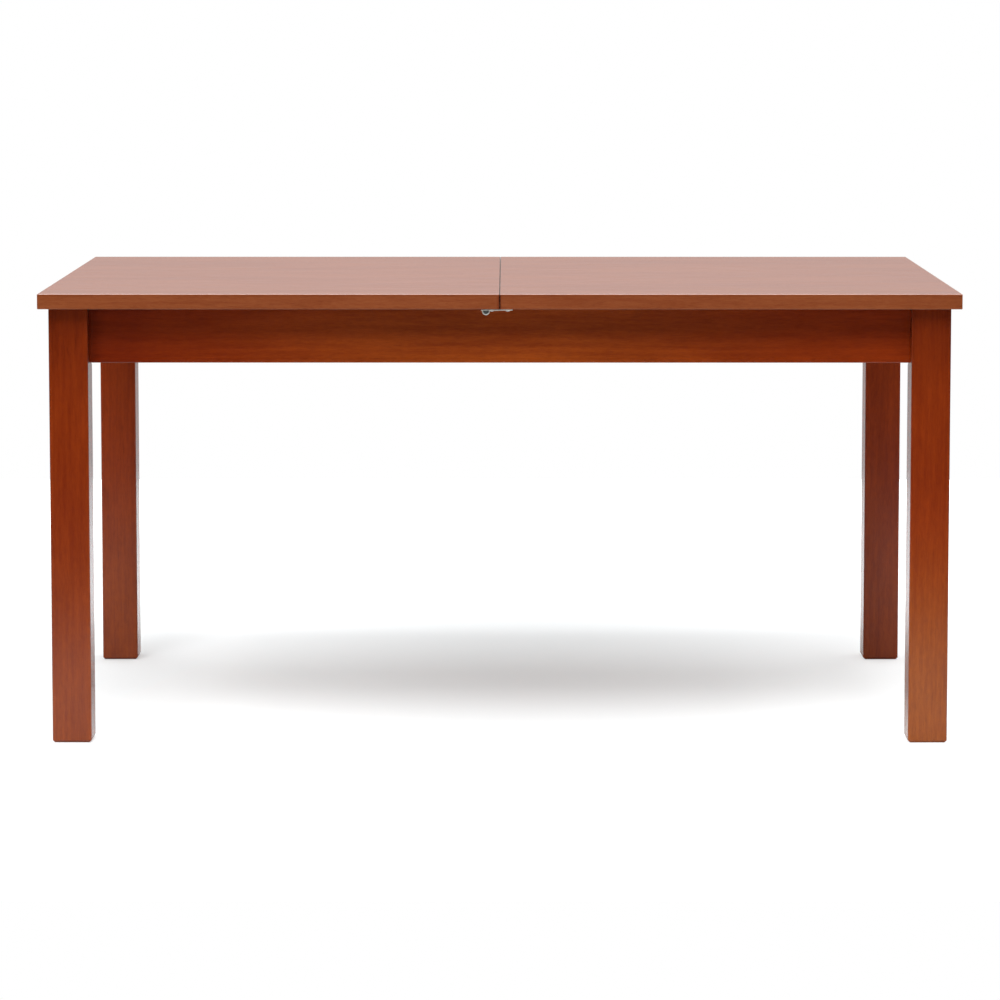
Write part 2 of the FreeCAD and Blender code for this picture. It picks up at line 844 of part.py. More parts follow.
# Folding leaf and its hardware
def leaf_panel(low, pins, sockets, barrel_holes, extra):
    """One half of the leaf as it lies folded in the bay; pins and sockets are (side, y) pairs."""
    board = block(-half_leaf, half_leaf, -leaf_half_depth, leaf_half_depth, low, low + top_thickness)
    board = bevelled(board, top_lower_bevel, lambda e: along(e, Z_AXIS) and e.Vertexes[0].Y < 0)
    middle = low + top_thickness / 2
    holes = [edge_pin_hole(side * half_leaf, side, y, middle) for side, y in pins]
    holes += [edge_socket(side * half_leaf, side, y, middle) for side, y in sockets]
    return less(board, holes + barrel_holes + extra)


def leaf_pin_y():
    """Stored Y of the leaf's near and far pins, which meet the top's pins once the leaf is laid out."""
    near = half_depth * edge_pin_near_share
    far = half_depth * edge_pin_far_share
    return leaf_half_depth - near, leaf_half_depth - far


def leaf_pins(low, places):
    middle = low + top_thickness / 2
    return Part.makeCompound([edge_pin(side * half_leaf, side, y, middle) for side, y in places])


def barrel_axis(x, low):
    start = Vector(x, leaf_half_depth - barrel_length, low + top_thickness / 2)
    return start, start + Y_AXIS * barrel_length


def hinge_places():
    return (-hinge_spacing / 2, hinge_spacing / 2)


def barrel_holes(low):
    return [bar(barrel_radius + barrel_fit, *barrel_axis(x, low), pin_sides) for x in hinge_places()]


def barrels(low):
    """Two hinge barrels let into the end of one leaf half, slotted for the links and bored for the pin."""
    made = []
    for x in hinge_places():
        start, end = barrel_axis(x, low)
        slot = block(
            x - barrel_slot_width / 2, x + barrel_slot_width / 2, end.y - barrel_slot_depth,
            end.y + cut_overrun, start.z - barrel_radius, start.z + barrel_radius,
        )
        made.append(less(bar(barrel_radius, start, end, pin_sides), [slot, hinge_pin(x, start.z)]))
    return Part.makeCompound(made)


def hinge_pin(x, z):
    """The cross pin that holds the links in one barrel."""
    reach = barrel_radius - hinge_pin_end_gap
    y = fold_y - hinge_pin_depth
    return bar(hinge_pin_radius, Vector(x - reach, y, z), Vector(x + reach, y, z), screw_sides)


def hinge_pins():
    levels = (lower_leaf_bottom + top_thickness / 2, upper_leaf_bottom + top_thickness / 2)
    return [hinge_pin(x, z) for x in hinge_places() for z in levels]


def hinge_links():
    """Three cranked links a hinge, running round the fold from one barrel's slot into the other's."""
    lower = lower_leaf_bottom + top_thickness / 2
    upper = upper_leaf_bottom + top_thickness / 2
    reach = (upper - lower) / 2
    made = []
    for x in hinge_places():
        for n in range(link_count):
            left = x + (n - (link_count - 1) / 2) * link_pitch - link_thickness / 2
            made.append(less(hinge_link(left, fold_y - link_bore_depth, reach), hinge_pins()))
    return Part.makeCompound(made)


def hinge_link(left, inside_y, reach):
    """A flat link in the YZ plane: two legs in the barrels, joined outside the edge, corners cut off."""
    half = link_width / 2
    outer, inner = reach + half, reach - half
    bulge = fold_y + link_reach
    outline = [
        (inside_y, -outer), (fold_y, -outer), (bulge + half, -inner), (bulge + half, inner),
        (fold_y, outer), (inside_y, outer), (inside_y, inner), (fold_y, inner),
        (bulge - half, inner - link_width), (bulge - half, link_width - inner), (fold_y, -inner),
        (inside_y, -inner),
    ]
    points = [Vector(left, y, fold_height + z) for y, z in outline]
    return prism(points, X_AXIS * link_thickness)


def batten():
    """The right-hand batten, screwed to the inner face of the rail under the free end of the leaf."""
    top = lower_leaf_bottom - batten_rest_gap
    far = leaf_half_depth * batten_end_share
    near = leaf_half_depth * batten_near_share
    body = block(half_leaf - batten_under_leaf, rail_inner, -far, -near, top - batten_height, top)
    body = bevelled(body, batten_edge_bevel, lambda e: along(e, Y_AXIS) and e.Vertexes[0].X < half_leaf)
    return less(body, [screw_hole(head, tip, cut_overrun) for head, tip in batten_screw_ends()])


def batten_screw_ends():
    z = lower_leaf_bottom - batten_rest_gap - batten_height / 2
    x = half_leaf - batten_under_leaf
    for y in (
        -leaf_half_depth * batten_end_share + batten_screw_from_end,
        -leaf_half_depth * batten_near_share - batten_screw_from_end,
    ):
        yield Vector(x, y, z), Vector(rail_inner + batten_screw_bite, y, z)


def batten_screws():
    right = [wood_screw(head, tip) for head, tip in batten_screw_ends()]
    return right + [mirror_x(s) for s in right]


def pivot_plate():
    """The right-hand bearing plate, screwed to the rail's inner face."""
    top = underside - pivot_plate_top_gap
    inner = rail_inner - pivot_plate_thickness
    half = pivot_plate_width / 2
    body = block(inner, rail_inner, pivot_y - half, pivot_y + half, top - pivot_plate_height, top)
    body = bevelled(body, pivot_plate_bevel, lambda e: along(e, X_AXIS) and e.Vertexes[0].Z < pivot_height)
    bore = rod(
        pivot_pin_radius + pivot_pin_clearance, Vector(inner, pivot_y, pivot_height),
        Vector(rail_inner, pivot_y, pivot_height),
    )
    return less(body, [bore] + [plate_screw_hole(seat, tip) for seat, tip in pivot_plate_screw_ends()])


def pivot_plate_screw_ends():
    """Seat and tip of the two pan screws of the right-hand plate."""
    x = rail_inner - pivot_plate_thickness
    for n in (0, 1):
        z = pivot_height - pivot_plate_screw_drop - pivot_plate_screw_pitch * n
        yield Vector(x, pivot_y, z), Vector(rail_inner + plate_screw_bite, pivot_y, z)


def plate_screw_hole(seat, tip):
    return bar(plate_screw_radius + screw_hole_clearance, seat, tip, screw_sides)


def plate_screw(seat, tip):
    return pan_screw(tip, seat, plate_screw_radius, plate_screw_head_radius, plate_screw_head_height)


def pivot_plate_screws():
    right = [plate_screw(seat, tip) for seat, tip in pivot_plate_screw_ends()]
    return right + [mirror_x(s) for s in right]


def bracket_lug_x():
    """Inner and outer face of the right-hand bracket's upright lug."""
    outer = half_leaf - bracket_inset
    return outer - bracket_thickness, outer


def pivot_bracket():
    """The right-hand bracket on the upper leaf half: a foot with two screws and a lug for the pin."""
    inner, outer = bracket_lug_x()
    half = bracket_length / 2
    foot = block(
        outer - bracket_foot, outer, pivot_y - half, pivot_y + half,
        upper_leaf_top, upper_leaf_top + bracket_thickness,
    )
    foot = bevelled(foot, bracket_bevel, lambda e: along(e, Z_AXIS) and e.Vertexes[0].X < inner)
    lug_half = bracket_lug_width / 2
    lug_top = pivot_height + pivot_pin_radius + bracket_thickness / 2
    lug = block(inner, outer, pivot_y - lug_half, pivot_y + lug_half, upper_leaf_top, lug_top)
    lug = bevelled(lug, bracket_bevel, lambda e: along(e, X_AXIS) and e.Vertexes[0].Z > pivot_height)
    bore = rod(
        pivot_pin_radius, Vector(inner, pivot_y, pivot_height), Vector(outer, pivot_y, pivot_height)
    )
    holes = [plate_screw_hole(seat, tip) for seat, tip in bracket_screw_ends()]
    return less(joined([foot, lug]), [bore] + holes)


def bracket_screw_ends():
    _, outer = bracket_lug_x()
    x = outer - bracket_foot / 2
    for side in (-1, 1):
        y = pivot_y + side * bracket_screw_pitch / 2
        seat = Vector(x, y, upper_leaf_top + bracket_thickness)
        yield seat, Vector(x, y, upper_leaf_top + bracket_thickness - plate_screw_bite)


def bracket_screws():
    right = [plate_screw(seat, tip) for seat, tip in bracket_screw_ends()]
    return right + [mirror_x(s) for s in right]


def pivot_pin():
    """The right-hand pin: riveted in the lug and running in the bearing plate."""
    inner, _ = bracket_lug_x()
    start = Vector(inner, pivot_y, pivot_height)
    end = Vector(rail_inner + pivot_pin_past_plate, pivot_y, pivot_height)
    head = bar(pivot_pin_head_radius, start - X_AXIS * pivot_pin_head_height, start, pin_sides)
    return joined([rod(pivot_pin_radius, start, end), head])


def leaf_pieces():
    near, far = leaf_pin_y()
    upper_pins = [(-1, far), (1, near)]
    upper_sockets = [(-1, near), (1, far)]
    lower_pins = [(-1, near), (1, far)]
    lower_sockets = [(-1, far), (1, near)]
    bracket_holes = [plate_screw_hole(seat, tip) for seat, tip in bracket_screw_ends()]
    bracket_holes += [mirror_x(h) for h in bracket_holes]
    return {
        "leaf_panel_upper": leaf_panel(
            upper_leaf_bottom, upper_pins, upper_sockets, barrel_holes(upper_leaf_bottom), bracket_holes
        ),
        "leaf_panel_lower": leaf_panel(
            lower_leaf_bottom, lower_pins, lower_sockets, barrel_holes(lower_leaf_bottom), []
        ),
        "leaf_pins_upper": leaf_pins(upper_leaf_bottom, upper_pins),
        "leaf_pins_lower": leaf_pins(lower_leaf_bottom, lower_pins),
        "hinge_barrels_upper": barrels(upper_leaf_bottom),
        "hinge_barrels_lower": barrels(lower_leaf_bottom),
        "hinge_links": hinge_links(),
        "hinge_pins": Part.makeCompound(hinge_pins()),
        "bracket_screws": Part.makeCompound(bracket_screws()),
        "pivot_pins": Part.makeCompound([pivot_pin(), mirror_x(pivot_pin())]),
        "pivot_bracket_right": pivot_bracket(),
        "pivot_bracket_left": mirror_x(pivot_bracket()),
    }


# The whole table, node by node
def four_corners(shape):
    return [mirror_x(mirror_y(shape)), mirror_y(shape), mirror_x(shape), shape]


def frame_pieces():
    pieces = {}
    corners = ("front_left", "front_right", "rear_left", "rear_right")
    for name, shape in zip(corners, four_corners(leg())):
        pieces["leg_" + name] = shape
    for name, shape in zip(corners, four_corners(corner_block())):
        pieces["corner_block_" + name] = shape
    pieces["apron_rear"] = long_apron()
    pieces["apron_front"] = mirror_y(long_apron())
    pieces["apron_right"] = end_apron()
    pieces["apron_left"] = mirror_x(end_apron())
    pieces["hanger_bolts"] = Part.makeCompound(four_corners(hanger_bolt()))
    pieces["hanger_washers"] = Part.makeCompound(four_corners(hanger_washer()))
    pieces["hanger_nuts"] = Part.makeCompound(four_corners(hanger_nut()))
    screws = [s for one in block_screws() for s in four_corners(one)]
    pieces["corner_block_screws"] = Part.makeCompound(screws)
    pieces["cross_rail_right"] = cross_rail()
    pieces["cross_rail_left"] = mirror_x(cross_rail())
    pieces["slide_beam_rear"] = slide_beam()
    pieces["slide_beam_front"] = mirror_y(slide_beam())
    pieces["slide_beam_screws"] = Part.makeCompound(beam_screws())
    pieces["leaf_batten_right"] = batten()
    pieces["leaf_batten_left"] = mirror_x(batten())
    pieces["leaf_batten_screws"] = Part.makeCompound(batten_screws())
    pieces["pivot_plate_right"] = pivot_plate()
    pieces["pivot_plate_left"] = mirror_x(pivot_plate())
    pieces["pivot_plate_screws"] = Part.makeCompound(pivot_plate_screws())
    return pieces


def all_pieces():
    pieces = frame_pieces()
    for name, shape in pieces_of_left_half().items():
        pieces[name + "_left"] = shape
        pieces[name + "_right"] = turned(shape)
    pieces["catch_hook_front"] = catch_hook()
    pieces["catch_hook_rear"] = turned(catch_hook())
    pieces["catch_pivot_right"] = catch_screw(catch_pivot_place())
    pieces["catch_pivot_left"] = turned(catch_screw(catch_pivot_place()))
    pieces["catch_washer_right"] = catch_washer()
    pieces["catch_washer_left"] = turned(catch_washer())
    pieces.update(leaf_pieces())
    return pieces


def main():
    os.makedirs("parts", exist_ok=True)
    for name, shape in all_pieces().items():
        if not shape.isValid():
            print("not valid:", name)
        shape.exportStep("parts/" + name + ".step")
    print("stroke of each half:", stroke)
    print("leaf pivot at Y, Z:", pivot_y, pivot_height)
    print("leaf fold at Y, Z:", fold_y, fold_height)


main()
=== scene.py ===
import json
import math

import bmesh
import bpy
from mathutils import Matrix, Vector

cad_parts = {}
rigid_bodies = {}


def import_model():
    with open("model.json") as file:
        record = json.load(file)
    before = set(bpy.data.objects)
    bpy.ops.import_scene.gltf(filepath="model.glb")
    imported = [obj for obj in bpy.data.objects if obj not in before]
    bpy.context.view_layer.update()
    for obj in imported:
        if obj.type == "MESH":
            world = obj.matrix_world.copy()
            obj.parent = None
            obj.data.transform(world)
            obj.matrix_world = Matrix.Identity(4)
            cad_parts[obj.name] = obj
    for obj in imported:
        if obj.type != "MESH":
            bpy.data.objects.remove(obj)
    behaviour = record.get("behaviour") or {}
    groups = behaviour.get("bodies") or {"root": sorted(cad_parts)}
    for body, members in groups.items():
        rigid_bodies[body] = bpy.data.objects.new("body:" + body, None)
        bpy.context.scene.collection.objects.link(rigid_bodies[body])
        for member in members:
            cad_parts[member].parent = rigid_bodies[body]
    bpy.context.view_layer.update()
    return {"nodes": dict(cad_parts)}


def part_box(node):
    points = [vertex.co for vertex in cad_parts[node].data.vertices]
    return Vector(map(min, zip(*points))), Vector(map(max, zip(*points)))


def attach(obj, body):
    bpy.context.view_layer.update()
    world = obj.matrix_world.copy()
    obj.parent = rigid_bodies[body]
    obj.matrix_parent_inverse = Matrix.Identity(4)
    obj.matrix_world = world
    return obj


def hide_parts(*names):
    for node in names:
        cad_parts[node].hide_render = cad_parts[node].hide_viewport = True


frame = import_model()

nodes = frame["nodes"]
bpy.ops.object.select_all(action="DESELECT")


# Legs. Four posts of solid beech, 64 mm square, with eased edges and a chamfered foot, each cut from its own
# plank with the grain up the post. They are stained a reddish brown and sprayed with a satin lacquer. Their
# colour is painted darker under the top as the top's shadow, and paler towards the foot as light from the
# floor.
STAIN_LIGHT = (0.205, 0.0260, 0.0018, 1.0)
STAIN_DARK = (0.122, 0.0118, 0.0008, 1.0)
BLACK = (0.0, 0.0, 0.0, 1.0)
STAINED_RINGS, STAINED_FLECKS, STAINED_ROUGH, STAINED_RELIEF, STAINED_SPECULAR = 0.16, 0.28, 0.36, 0.25, 0.05
LACQUER_IOR, LACQUER_WEIGHT, LACQUER_ROUGH = 1.37, 0.9, 0.24
WOOD_RELIEF = 0.0002
GRAIN_UP = (0.0, math.radians(90), 0.0)
GRAIN_LENGTHWISE = (0.0, 0.0, 0.0)
GRAIN_CROSSWISE = (0.0, 0.0, math.radians(-90))
GRAIN_DRIFT = (1.7, 6.0, 6.0)
GRAIN_DRIFT_REACH = 0.016
RING_WIDTH = 0.0052
# Length along the grain, width across it, the noise's levels that are clear and full, and its detail.
CLOUDS = (0.30, 0.060, 0.30, 0.70, 2.0)
STREAKS = (0.075, 0.0065, 0.30, 0.70, 3.0)
FIBRES = (0.013, 0.0017, 0.32, 0.68, 3.0)
FLECKS = (0.0030, 0.00036, 0.60, 0.74, 1.0)
VEINS = (0.018, 0.0014, 0.56, 0.76, 2.0)
CLOUD_SHARE, STREAK_SHARE, FIBRE_SHARE = 0.36, 0.30, 0.28
VEIN_DEPTH, STREAK_ROUGH, FIBRE_HEIGHT = 0.55, 0.06, 0.4
# Pith line from the leg's middle, lean of the grain in degrees, shade, and the tint at the foot, which is
# painted light from the floor. The rear legs' higher shade is painted light that reaches them under the top.
LEG_CUTS = {
    "leg_front_left": ((0.031, 0.022, -0.047), 0.0, 1.00, (1.14, 1.55, 0.85)),
    "leg_front_right": ((-0.052, 0.037, 0.035), 0.0, 1.04, (1.22, 2.20, 1.40)),
    "leg_rear_left": ((0.043, -0.055, -0.028), 13.0, 1.22, (1.14, 1.50, 0.85)),
    "leg_rear_right": ((0.017, 0.048, -0.061), -5.0, 1.25, (1.14, 1.40, 0.80)),
}
# The top's painted shadow on the legs: where it starts, where it is full, and its tint. Then where the
# floor's painted light starts and where it is full.
LEG_SHADOW_FROM, LEG_SHADOW_TO, LEG_PAINTED_SHADOW_TINT = 0.53, 0.71, (0.74, 0.68, 0.64)
LEG_FLOOR_LIGHT_FROM, LEG_FLOOR_LIGHT_TO = 0.40, 0.05


def join_or_set(tree, socket, value):
    """Joins an input to another node's output, or gives it a plain value."""
    if isinstance(value, bpy.types.NodeSocket):
        tree.links.new(value, socket)
    else:
        socket.default_value = value


def add_node(tree, kind, settings=None, **inputs):
    made = tree.nodes.new("ShaderNode" + kind)
    for name, value in (settings or {}).items():
        setattr(made, name, value)
    for name, value in inputs.items():
        join_or_set(tree, made.inputs[name.replace("_", " ")], value)
    return made


def calculate(tree, operation, *values, kind="Math", clamp=False):
    made = add_node(tree, kind, {"operation": operation})
    if clamp:
        made.use_clamp = True
    for socket, value in zip(made.inputs, values):
        join_or_set(tree, socket, value)
    return made.outputs["Value" if operation == "LENGTH" else 0]


def times(tree, first, second):
    return calculate(tree, "MULTIPLY", first, second)


def plus(tree, first, second, clamp=False):
    return calculate(tree, "ADD", first, second, clamp=clamp)


def blend_colours(tree, factor, first, second, way="MIX"):
    made = add_node(tree, "Mix", {"data_type": "RGBA", "blend_type": way})
    for index, value in ((0, factor), (6, first), (7, second)):
        join_or_set(tree, made.inputs[index], value)
    return made.outputs[2]


def ramp(tree, value, start, end, first=0.0, last=1.0):
    """Goes smoothly from first to last while the value goes from start to end."""
    made = add_node(
        tree, "MapRange", {"interpolation_type": "SMOOTHSTEP"},
        Value=value, From_Min=start, From_Max=end, To_Min=first, To_Max=last,
    )
    return made.outputs[0]


def object_axes(tree):
    """Where a point lies along the table, across it and above the floor."""
    place = add_node(tree, "TexCoord").outputs["Object"]
    return add_node(tree, "SeparateXYZ", Vector=place).outputs


def streaks(tree, place, along, across, low, high, detail):
    """Noise drawn out along the grain, from 0 to 1; the two lengths are in metres."""
    scale = (1 / along, 1 / across, 1 / across)
    scaled = calculate(tree, "MULTIPLY", place, scale, kind="VectorMath")
    noise = add_node(tree, "TexNoise", Vector=scaled, Scale=1.0, Detail=detail)
    return ramp(tree, noise.outputs[0], low, high)


def new_group(name, inputs):
    """An empty effect that takes a place and the inputs, and gives a colour, a roughness and a height."""
    tree = bpy.data.node_groups.new(name, "ShaderNodeTree")
    tree.interface.new_socket("Place", in_out="INPUT", socket_type="NodeSocketVector")
    for label, start in inputs.items():
        kind = "NodeSocketFloat" if isinstance(start, float) else "NodeSocketColor"
        tree.interface.new_socket(label, in_out="INPUT", socket_type=kind).default_value = start
    for label, kind in (("Colour", "Color"), ("Roughness", "Float"), ("Height", "Float")):
        tree.interface.new_socket(label, in_out="OUTPUT", socket_type="NodeSocket" + kind)
    return tree, tree.nodes.new("NodeGroupInput").outputs, tree.nodes.new("NodeGroupOutput").inputs


def hardwood_grain():
    """Beech: yearly rings round a pith line, clouds, streaks, fibres, dark veins, and its rays' flecks."""
    tree, given, result = new_group("hardwood grain", {
        "Light": (0.8, 0.6, 0.4, 1.0), "Dark": (0.4, 0.3, 0.2, 1.0),
        "Rings": 0.3, "Flecks": 0.3, "Rough": 0.3,
    })
    place, dark = given["Place"], given["Dark"]
    bend = calculate(tree, "MULTIPLY", place, GRAIN_DRIFT, kind="VectorMath")
    drift = add_node(tree, "TexNoise", Vector=bend, Scale=1.0, Detail=1.0)
    reach = Vector((0.0, GRAIN_DRIFT_REACH, GRAIN_DRIFT_REACH))
    offset = calculate(tree, "MULTIPLY_ADD", drift.outputs[1], reach, -reach / 2, kind="VectorMath")
    wavy = calculate(tree, "ADD", place, offset, kind="VectorMath")

    axes = add_node(tree, "SeparateXYZ", Vector=wavy).outputs
    squares = plus(tree, times(tree, axes[1], axes[1]), times(tree, axes[2], axes[2]))
    phase = times(tree, calculate(tree, "SQRT", squares), 2 * math.pi / RING_WIDTH)
    ring = calculate(tree, "MULTIPLY_ADD", calculate(tree, "SINE", phase), 0.5, 0.5)
    cloud, streak, fibre, fleck, vein = (
        streaks(tree, wavy, *figure) for figure in (CLOUDS, STREAKS, FIBRES, FLECKS, VEINS)
    )

    tone = plus(tree, times(tree, cloud, CLOUD_SHARE), times(tree, streak, STREAK_SHARE))
    tone = plus(tree, tone, times(tree, fibre, FIBRE_SHARE))
    tone = plus(tree, tone, times(tree, ring, given["Rings"]), True)
    colour = blend_colours(tree, tone, dark, given["Light"])
    colour = blend_colours(tree, times(tree, fleck, given["Flecks"]), colour, dark, "MULTIPLY")
    deepest = blend_colours(tree, VEIN_DEPTH, dark, BLACK)
    colour = blend_colours(tree, times(tree, vein, given["Flecks"]), colour, deepest)
    tree.links.new(colour, result["Colour"])
    tree.links.new(plus(tree, given["Rough"], times(tree, streak, STREAK_ROUGH)), result["Roughness"])
    tree.links.new(calculate(tree, "SUBTRACT", times(tree, fibre, FIBRE_HEIGHT), fleck), result["Height"])
    return tree


GRAIN = hardwood_grain()


def material_from(name, group, relief, depth, cut=None, **settings):
    """Colour, roughness and relief come from a shared effect; cut is a board's turn and pith line."""
    material = bpy.data.materials.new(name)
    material.use_nodes = True
    tree = material.node_tree
    shader = tree.nodes["Principled BSDF"]
    place = add_node(tree, "TexCoord").outputs["Object"]
    if cut:
        turn, pith = cut
        turned = add_node(
            tree, "Mapping", {"vector_type": "TEXTURE"}, Vector=place, Rotation=turn, Location=pith
        )
        place = turned.outputs[0]
    surface = add_node(tree, "Group", {"node_tree": group}, Place=place, **settings).outputs
    bump = add_node(tree, "Bump", Strength=relief, Distance=depth, Height=surface["Height"])
    tree.links.new(surface["Colour"], shader.inputs["Base Color"])
    tree.links.new(surface["Roughness"], shader.inputs["Roughness"])
    tree.links.new(bump.outputs[0], shader.inputs["Normal"])
    return material, shader


def shaded(colour, shade):
    return tuple(channel * shade for channel in colour[:3]) + (1.0,)


def lacquered(name, turn, pith, shade, light=STAIN_LIGHT, dark=STAIN_DARK, rings=STAINED_RINGS):
    """Stained beech under a clear coat of lacquer."""
    material, shader = material_from(
        name, GRAIN, STAINED_RELIEF, WOOD_RELIEF, (turn, pith),
        Light=shaded(light, shade), Dark=shaded(dark, shade),
        Rings=rings, Flecks=STAINED_FLECKS, Rough=STAINED_ROUGH,
    )
    shader.inputs["Specular IOR Level"].default_value = STAINED_SPECULAR
    shader.inputs["Coat Weight"].default_value = LACQUER_WEIGHT
    shader.inputs["Coat Roughness"].default_value = LACQUER_ROUGH
    shader.inputs["Coat IOR"].default_value = LACQUER_IOR
    return material


def wear(node_name, material):
    for slot in nodes[node_name].material_slots:
        slot.material = material


def recolour(material, change):
    """Puts a change between a material's colour and its shader."""
    tree = material.node_tree
    base = tree.nodes["Principled BSDF"].inputs["Base Color"]
    tree.links.new(change(tree, base.links[0].from_socket), base)


def painted_light_tint(material, axis, start, end, tint, both_ways=False):
    """A tint that changes slowly from one place to another along an axis of the table; it paints light and
    shade.
    """
    def change(tree, stained):
        along = object_axes(tree)[axis]
        if both_ways:
            along = calculate(tree, "ABSOLUTE", along)
        return blend_colours(tree, ramp(tree, along, start, end), stained, tint + (1.0,), "MULTIPLY")

    recolour(material, change)


for leg, (pith, lean, shade, painted_floor_light) in LEG_CUTS.items():
    low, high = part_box(leg)
    turn = (math.radians(lean), GRAIN_UP[1], 0.0)
    stained_leg = lacquered("lacquered " + leg, turn, (low + high) / 2 + Vector(pith), shade)
    # Painted shade from the top near the head, and painted light from the floor towards the foot.
    painted_light_tint(stained_leg, 2, LEG_SHADOW_FROM, LEG_SHADOW_TO, LEG_PAINTED_SHADOW_TINT)
    painted_light_tint(stained_leg, 2, LEG_FLOOR_LIGHT_FROM, LEG_FLOOR_LIGHT_TO, painted_floor_light)
    wear(leg, stained_leg)


# Aprons. Four beech boards, tenoned into the legs and set back from their faces, in the same stain and
# lacquer. The long ones have their grain along the table, the end ones across it. Their colour is painted
# paler at the lower edges, below the shadow of the top, and in the middle of the long ones as a highlight,
# with painted shade at their ends. The front one is darker at its left end, partly from the wood's figure and
# partly as painted shade beside the leg.
APRON_CUTS = {
    "apron_front": (GRAIN_LENGTHWISE, (0.0, 0.085, 0.020), 0.97),
    "apron_rear": (GRAIN_LENGTHWISE, (0.0, -0.070, 0.035), 1.00),
    "apron_left": (GRAIN_CROSSWISE, (0.080, 0.0, -0.015), 1.02),
    "apron_right": (GRAIN_CROSSWISE, (-0.075, 0.0, 0.030), 0.98),
}
# Painted light and shade: axis, where the tint starts and where it is full, the tint, and whether it is the
# same on both sides.
APRON_PAINTED_LIGHT = [(2, 0.672, 0.638, (1.16, 1.20, 1.10))]
LONG_APRON_PAINTED_LIGHT = [
    (0, 0.35, 0.66, (0.95, 0.80, 0.60), True),
    (0, 0.50, 0.12, (1.18, 1.62, 2.20), True),
]
FRONT_APRON_FIGURE_AND_SHADE = [
    (0, -0.545, -0.605, (0.82, 0.72, 0.70)),
    (0, -0.640, -0.668, (0.74, 0.68, 0.60)),
]

for apron, (turn, pith, shade) in APRON_CUTS.items():
    low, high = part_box(apron)
    stained_apron = lacquered("lacquered " + apron, turn, (low + high) / 2 + Vector(pith), shade)
    # The painted light and shade listed above, for each apron.
    painted_tints = APRON_PAINTED_LIGHT + (LONG_APRON_PAINTED_LIGHT if turn == GRAIN_LENGTHWISE else [])
    for painted_tint in painted_tints + (FRONT_APRON_FIGURE_AND_SHADE if apron == "apron_front" else []):
        painted_light_tint(stained_apron, *painted_tint)
    wear(apron, stained_apron)


# Corner blocks. Four pieces of planed beech, left bare, that stand across the corners of the frame. Each is
# bored for its hanger bolt and counterbored for the four screws into the aprons.
BEECH_LIGHT = (0.62, 0.43, 0.26, 1.0)
BEECH_DARK = (0.44, 0.275, 0.145, 1.0)
BARE_RINGS, BARE_FLECKS, BARE_ROUGH, BARE_RELIEF, BARE_SPECULAR = 0.28, 0.5, 0.52, 0.5, 0.35
BLOCK_EASE = 0.0008
COUNTERBORE_RADIUS, COUNTERBORE_LENGTH = 0.00445, 0.030
SAME_POINT, SAME_LEVEL = 0.00001, 0.00002
GRAIN_DIAGONAL = (0.0, 0.0, math.radians(45))
GRAIN_COUNTER_DIAGONAL = (0.0, 0.0, math.radians(-45))
BLOCK_CUTS = {
    "front_left": (GRAIN_COUNTER_DIAGONAL, (-0.020, 0.015, 0.060), 0.96),
    "front_right": (GRAIN_DIAGONAL, (-0.008, 0.015, 0.043), 1.00),
    "rear_left": (GRAIN_DIAGONAL, (0.004, 0.015, 0.026), 1.04),
    "rear_right": (GRAIN_COUNTER_DIAGONAL, (0.016, 0.015, 0.009), 1.08),
}


def bare_beech(name, turn, pith, shade):
    material, shader = material_from(
        name, GRAIN, BARE_RELIEF, WOOD_RELIEF, (turn, pith),
        Light=shaded(BEECH_LIGHT, shade), Dark=shaded(BEECH_DARK, shade),
        Rings=BARE_RINGS, Flecks=BARE_FLECKS, Rough=BARE_ROUGH,
    )
    shader.inputs["Specular IOR Level"].default_value = BARE_SPECULAR
    return material


def solids_of(node_name):
    """The corner points of each loose solid in a node's own mesh, in the order of its points."""
    mesh = bmesh.new()
    mesh.from_mesh(nodes[node_name].data)
    bmesh.ops.remove_doubles(mesh, verts=mesh.verts, dist=SAME_POINT)
    mesh.verts.index_update()
    met, solids = set(), []
    for first in mesh.verts:
        if first.index in met:
            continue
        met.add(first.index)
        waiting, corners = [first], []
        while waiting:
            corner = waiting.pop()
            corners.append(corner.co.copy())
            for edge in corner.link_edges:
                other = edge.other_vert(corner)
                if other.index not in met:
                    met.add(other.index)
                    waiting.append(other)
        solids.append(corners)
    mesh.free()
    return solids


def ends_of(corners, direction=None):
    """Axis points at the wide end and the narrow end of a long round solid."""
    if direction is None:
        spans = [max(c[i] for c in corners) - min(c[i] for c in corners) for i in range(3)]
        direction = Vector([1.0 if i == spans.index(max(spans)) else 0.0 for i in range(3)])
    reach = [c.dot(direction) for c in corners]
    ends = []
    for level in (min(reach), max(reach)):
        ring = [c for c, r in zip(corners, reach) if abs(r - level) < SAME_LEVEL]
        middle = sum(ring, Vector()) / len(ring)
        ends.append((max((c - middle).length for c in ring), middle))
    (low_width, low), (high_width, high) = ends
    return (high, low) if high_width > low_width else (low, high)


def heads_of(node_name):
    """Each long round solid's wide end and the way to its narrow end. Then the first one's length."""
    ends = [ends_of(corners) for corners in solids_of(node_name)]
    return [(head, (tip - head).normalized()) for head, tip in ends], (ends[0][0] - ends[0][1]).length


def activate(piece):
    bpy.ops.object.select_all(action="DESELECT")
    bpy.context.view_layer.objects.active = piece
    piece.select_set(True)


def choose(piece, wanted, kind="FACE"):
    """Edit mode, with only the faces or corners that the test picks out selected."""
    activate(piece)
    bpy.ops.object.mode_set(mode="EDIT")
    bpy.ops.mesh.select_mode(type=kind)
    bpy.ops.mesh.select_all(action="DESELECT")
    mesh = bmesh.from_edit_mesh(piece.data)
    for part in mesh.faces if kind == "FACE" else mesh.verts:
        if wanted(part):
            part.select_set(True)
    mesh.select_flush_mode()
    bmesh.update_edit_mesh(piece.data)


def choose_all(piece):
    choose(piece, lambda face: True)


